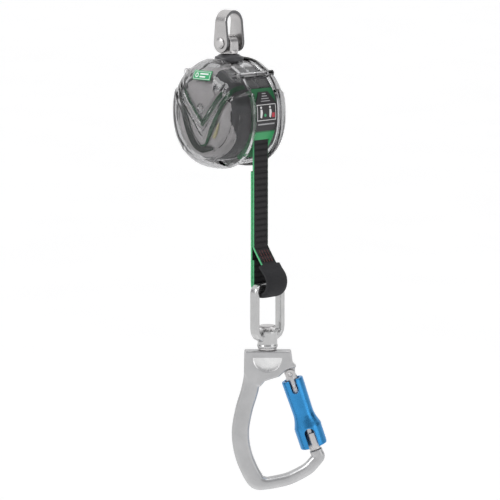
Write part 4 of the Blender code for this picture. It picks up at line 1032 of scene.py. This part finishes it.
def gate():
    """The blue sleeve with its slots and turned edges, and the key and rivet that show in the slots."""
    length = 71.5
    top = -5.5
    profile = [(6.7, -11.5), (7.8, -10.5), (7.8, 0), (9.9, 0), (10.6, -0.35), (10.95, -1.2), (10.9, -8.0)]
    profile += [(10.5, -26.0), (10.35, -34.0), (10.5, -38.0), (11.2, -42.0), (12.4, -46.0), (13.3, -48.4)]
    profile += [(13.8, -50.0), (13.9, -51.5), (13.9, -length + 1.2), (13.5, -length + 0.35)]
    profile += [(12.8, -length), (11.6, -length), (11.6, -52.6), (6.7, -48.4)]
    sleeve = lathe("locking_sleeve", profile, moved(GATE, 0, 0, top), 96)
    front = moved(GATE, 0, -9.0, 0) @ ALONG_Y
    upper = [(3.3, 2.0), (-3.3, 2.0)] + arc((0, -16.2), 3.3, 180, 360, 17)
    sleeve = boolean(sleeve, slab("upper", [upper], 16.0, front))
    lower = [(-5.0, -90.0), (5.0, -90.0)] + arc((0, -61.5), 5.0, 0, 180, 17)
    sleeve = boolean(sleeve, slab("lower", [lower], 16.0, front))
    sleeve = boolean(sleeve, slab("escape", [box(1.0, -90.0, 18.0, -58.0)], 7.0, GATE @ ALONG_Y))
    sleeve = forged("locking_sleeve", [sleeve], 0.36, 2)
    piece(sleeve, BLUE, "sleeve", ["gate_sleeve"], 60)
    key = slab("gate_key", [box(-1.6, -78.6, 4.2, -62.5)], 4.0, moved(GATE, 0, -7.2, 0) @ ALONG_Y, 0.5)
    piece(key, PIN_METAL, "gate", (), 30)
    head = [(0, 0.6), (1.6, 0.5), (2.1, 0), (2.1, -2.0), (0, -2.0)]
    rivet = lathe("guide_rivet", head, moved(GATE, 0, -6.8, -12.0) @ ALONG_Y, 28)
    piece(rivet, PIN_METAL, "gate", (), 30)


# ---------------------------------------------------------------- carried-over CAD nodes

CARRIED = (
    (PIN_METAL, "load_frame frame_spacer main_shaft pawl_carrier pawl_pin_1 pawl_pin_2 spring_arbor"),
    (PIN_METAL, "case_screw_1 case_screw_2 case_screw_3 case_screw_4 swivel_nut swivel_washer"),
    (PIN_METAL, "thrust_washer gate_barrel"),
    (STEEL, "pawl_1 pawl_2 ratchet_ring absorber_strip drum"),
    (ZINC, "absorber_cover spring_cover"),
    (DARK_METAL, "left_shaft_clip right_shaft_clip power_spring bail_pin_clip gate_spring"),
    (BRONZE, "left_shaft_bush right_shaft_bush swivel_bush"),
    (DARK, "spring_case"),
    (WEB, "wound_web web_inner_run"),
    (LABEL_BLACK, "front_label"),
)


def carried_over():
    """Gives the CAD nodes that stay as they are their materials and soft edges."""
    for material, names in CARRIED:
        for name in names.split():
            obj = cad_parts[name]
            obj.data.materials.clear()
            obj.data.materials.append(material)
            smooth_shade(obj, 32)


# ---------------------------------------------------------------- stage


def studio():
    """The camera at the photograph's angle, a pale floor, a soft world and three area lights."""
    across, up = math.radians(AZIMUTH), math.radians(ELEVATION)
    back = Vector((math.sin(across) * math.cos(up), -math.cos(across) * math.cos(up), math.sin(up)))
    right = Vector((math.cos(across), math.sin(across), 0))
    aim = ROW @ Vector(AIM)
    camera = bpy.data.objects.new("camera", bpy.data.cameras.new("camera"))
    bpy.context.scene.collection.objects.link(camera)
    camera.data.sensor_fit = "HORIZONTAL"
    camera.data.angle = 2 * math.atan(0.25 / DISTANCE)
    camera.data.clip_end = 150
    turn = Matrix((right, back.cross(right), back)).transposed().to_4x4()
    camera.matrix_world = Matrix.Translation(aim + back * DISTANCE) @ turn
    bpy.context.scene.camera = camera
    pale_floor()
    soft_world(right)
    for name, spot, size, power in (
        ("key", (-0.6, -2.2, 1.2), 1.2, 34.0),
        ("fill", (2.4, 0.6, 0.4), 1.4, 8.0),
        ("top", (0.4, -0.3, 2.4), 1.6, 16.0),
    ):
        lamp = bpy.data.objects.new(name, bpy.data.lights.new(name, "AREA"))
        bpy.context.scene.collection.objects.link(lamp)
        lamp.data.size = size
        lamp.data.energy = power
        lamp.location = spot
        lamp.rotation_euler = (Vector(spot) - aim).to_track_quat("Z", "Y").to_euler()
    bpy.context.scene.view_settings.view_transform = "Standard"


def pale_floor():
    mesh = bpy.data.meshes.new("floor")
    mesh.from_pydata([(x, y, FLOOR) for x, y in box(-45.0, -45.0, 45.0, 45.0)], [], [(0, 1, 2, 3)])
    floor = new_object("floor", mesh)
    made, tree, surface = shader("pale_floor")
    pale = ramp(tree, noise(tree, 2.0, 2.0), [(0.3, (0.94, 0.94, 0.94)), (0.7, (0.96, 0.96, 0.96))])
    tree.links.new(pale, surface.inputs["Base Color"])
    surface.inputs["Roughness"].default_value = 0.9
    surface.inputs["Emission Color"].default_value = (1.0, 1.0, 1.0, 1.0)
    surface.inputs["Emission Strength"].default_value = 0.24
    floor.data.materials.append(made)


def soft_world(right):
    """A white world, darker above the horizon on some sides, to give metal its shading."""
    world = bpy.data.worlds.new("studio")
    bpy.context.scene.world = world
    world.use_nodes = True
    tree = world.node_tree
    place = node(tree, "ShaderNodeTexCoord")

    def shaded(direction, start, end, darkest, both_ways=False):
        along = node(tree, "ShaderNodeVectorMath", operation="DOT_PRODUCT")
        tree.links.new(place.outputs["Generated"], along.inputs[0])
        along.inputs[1].default_value = direction
        share = along.outputs["Value"]
        if both_ways:
            share = maths(tree, "ABSOLUTE", share)
        share = spread(tree, share, 0.0, 1.0, start, end)
        return ramp(tree, share, [(0.0, (1.0, 1.0, 1.0)), (1.0, darkest)])

    both = node(tree, "ShaderNodeMix", data_type="RGBA", blend_type="MULTIPLY")
    both.inputs[0].default_value = 1.0
    tree.links.new(shaded((0.55, -0.35, 0.0), -0.1, 0.62, (0.42, 0.42, 0.43)), both.inputs[6])
    tree.links.new(shaded(right, 0.74, 0.90, (0.16, 0.16, 0.17), True), both.inputs[7])
    height = node(tree, "ShaderNodeSeparateXYZ")
    tree.links.new(place.outputs["Generated"], height.inputs[0])
    above = spread(tree, height.outputs["Z"], 0.0, 1.0, 0.09, 0.22)
    sky = blend_colour(tree, above, (1.0, 1.0, 1.0), both.outputs[2])
    tree.links.new(sky, tree.nodes["Background"].inputs["Color"])
    tree.nodes["Background"].inputs["Strength"].default_value = 1.0


def main():
    carried_over()
    clear_shells()
    inner_casings()
    bands_and_plates()
    badge()
    nose()
    label()
    bail_and_swivel()
    webbing()
    wear_sleeve()
    swivel_eye()
    karabiner()
    gate()
    studio()


main()
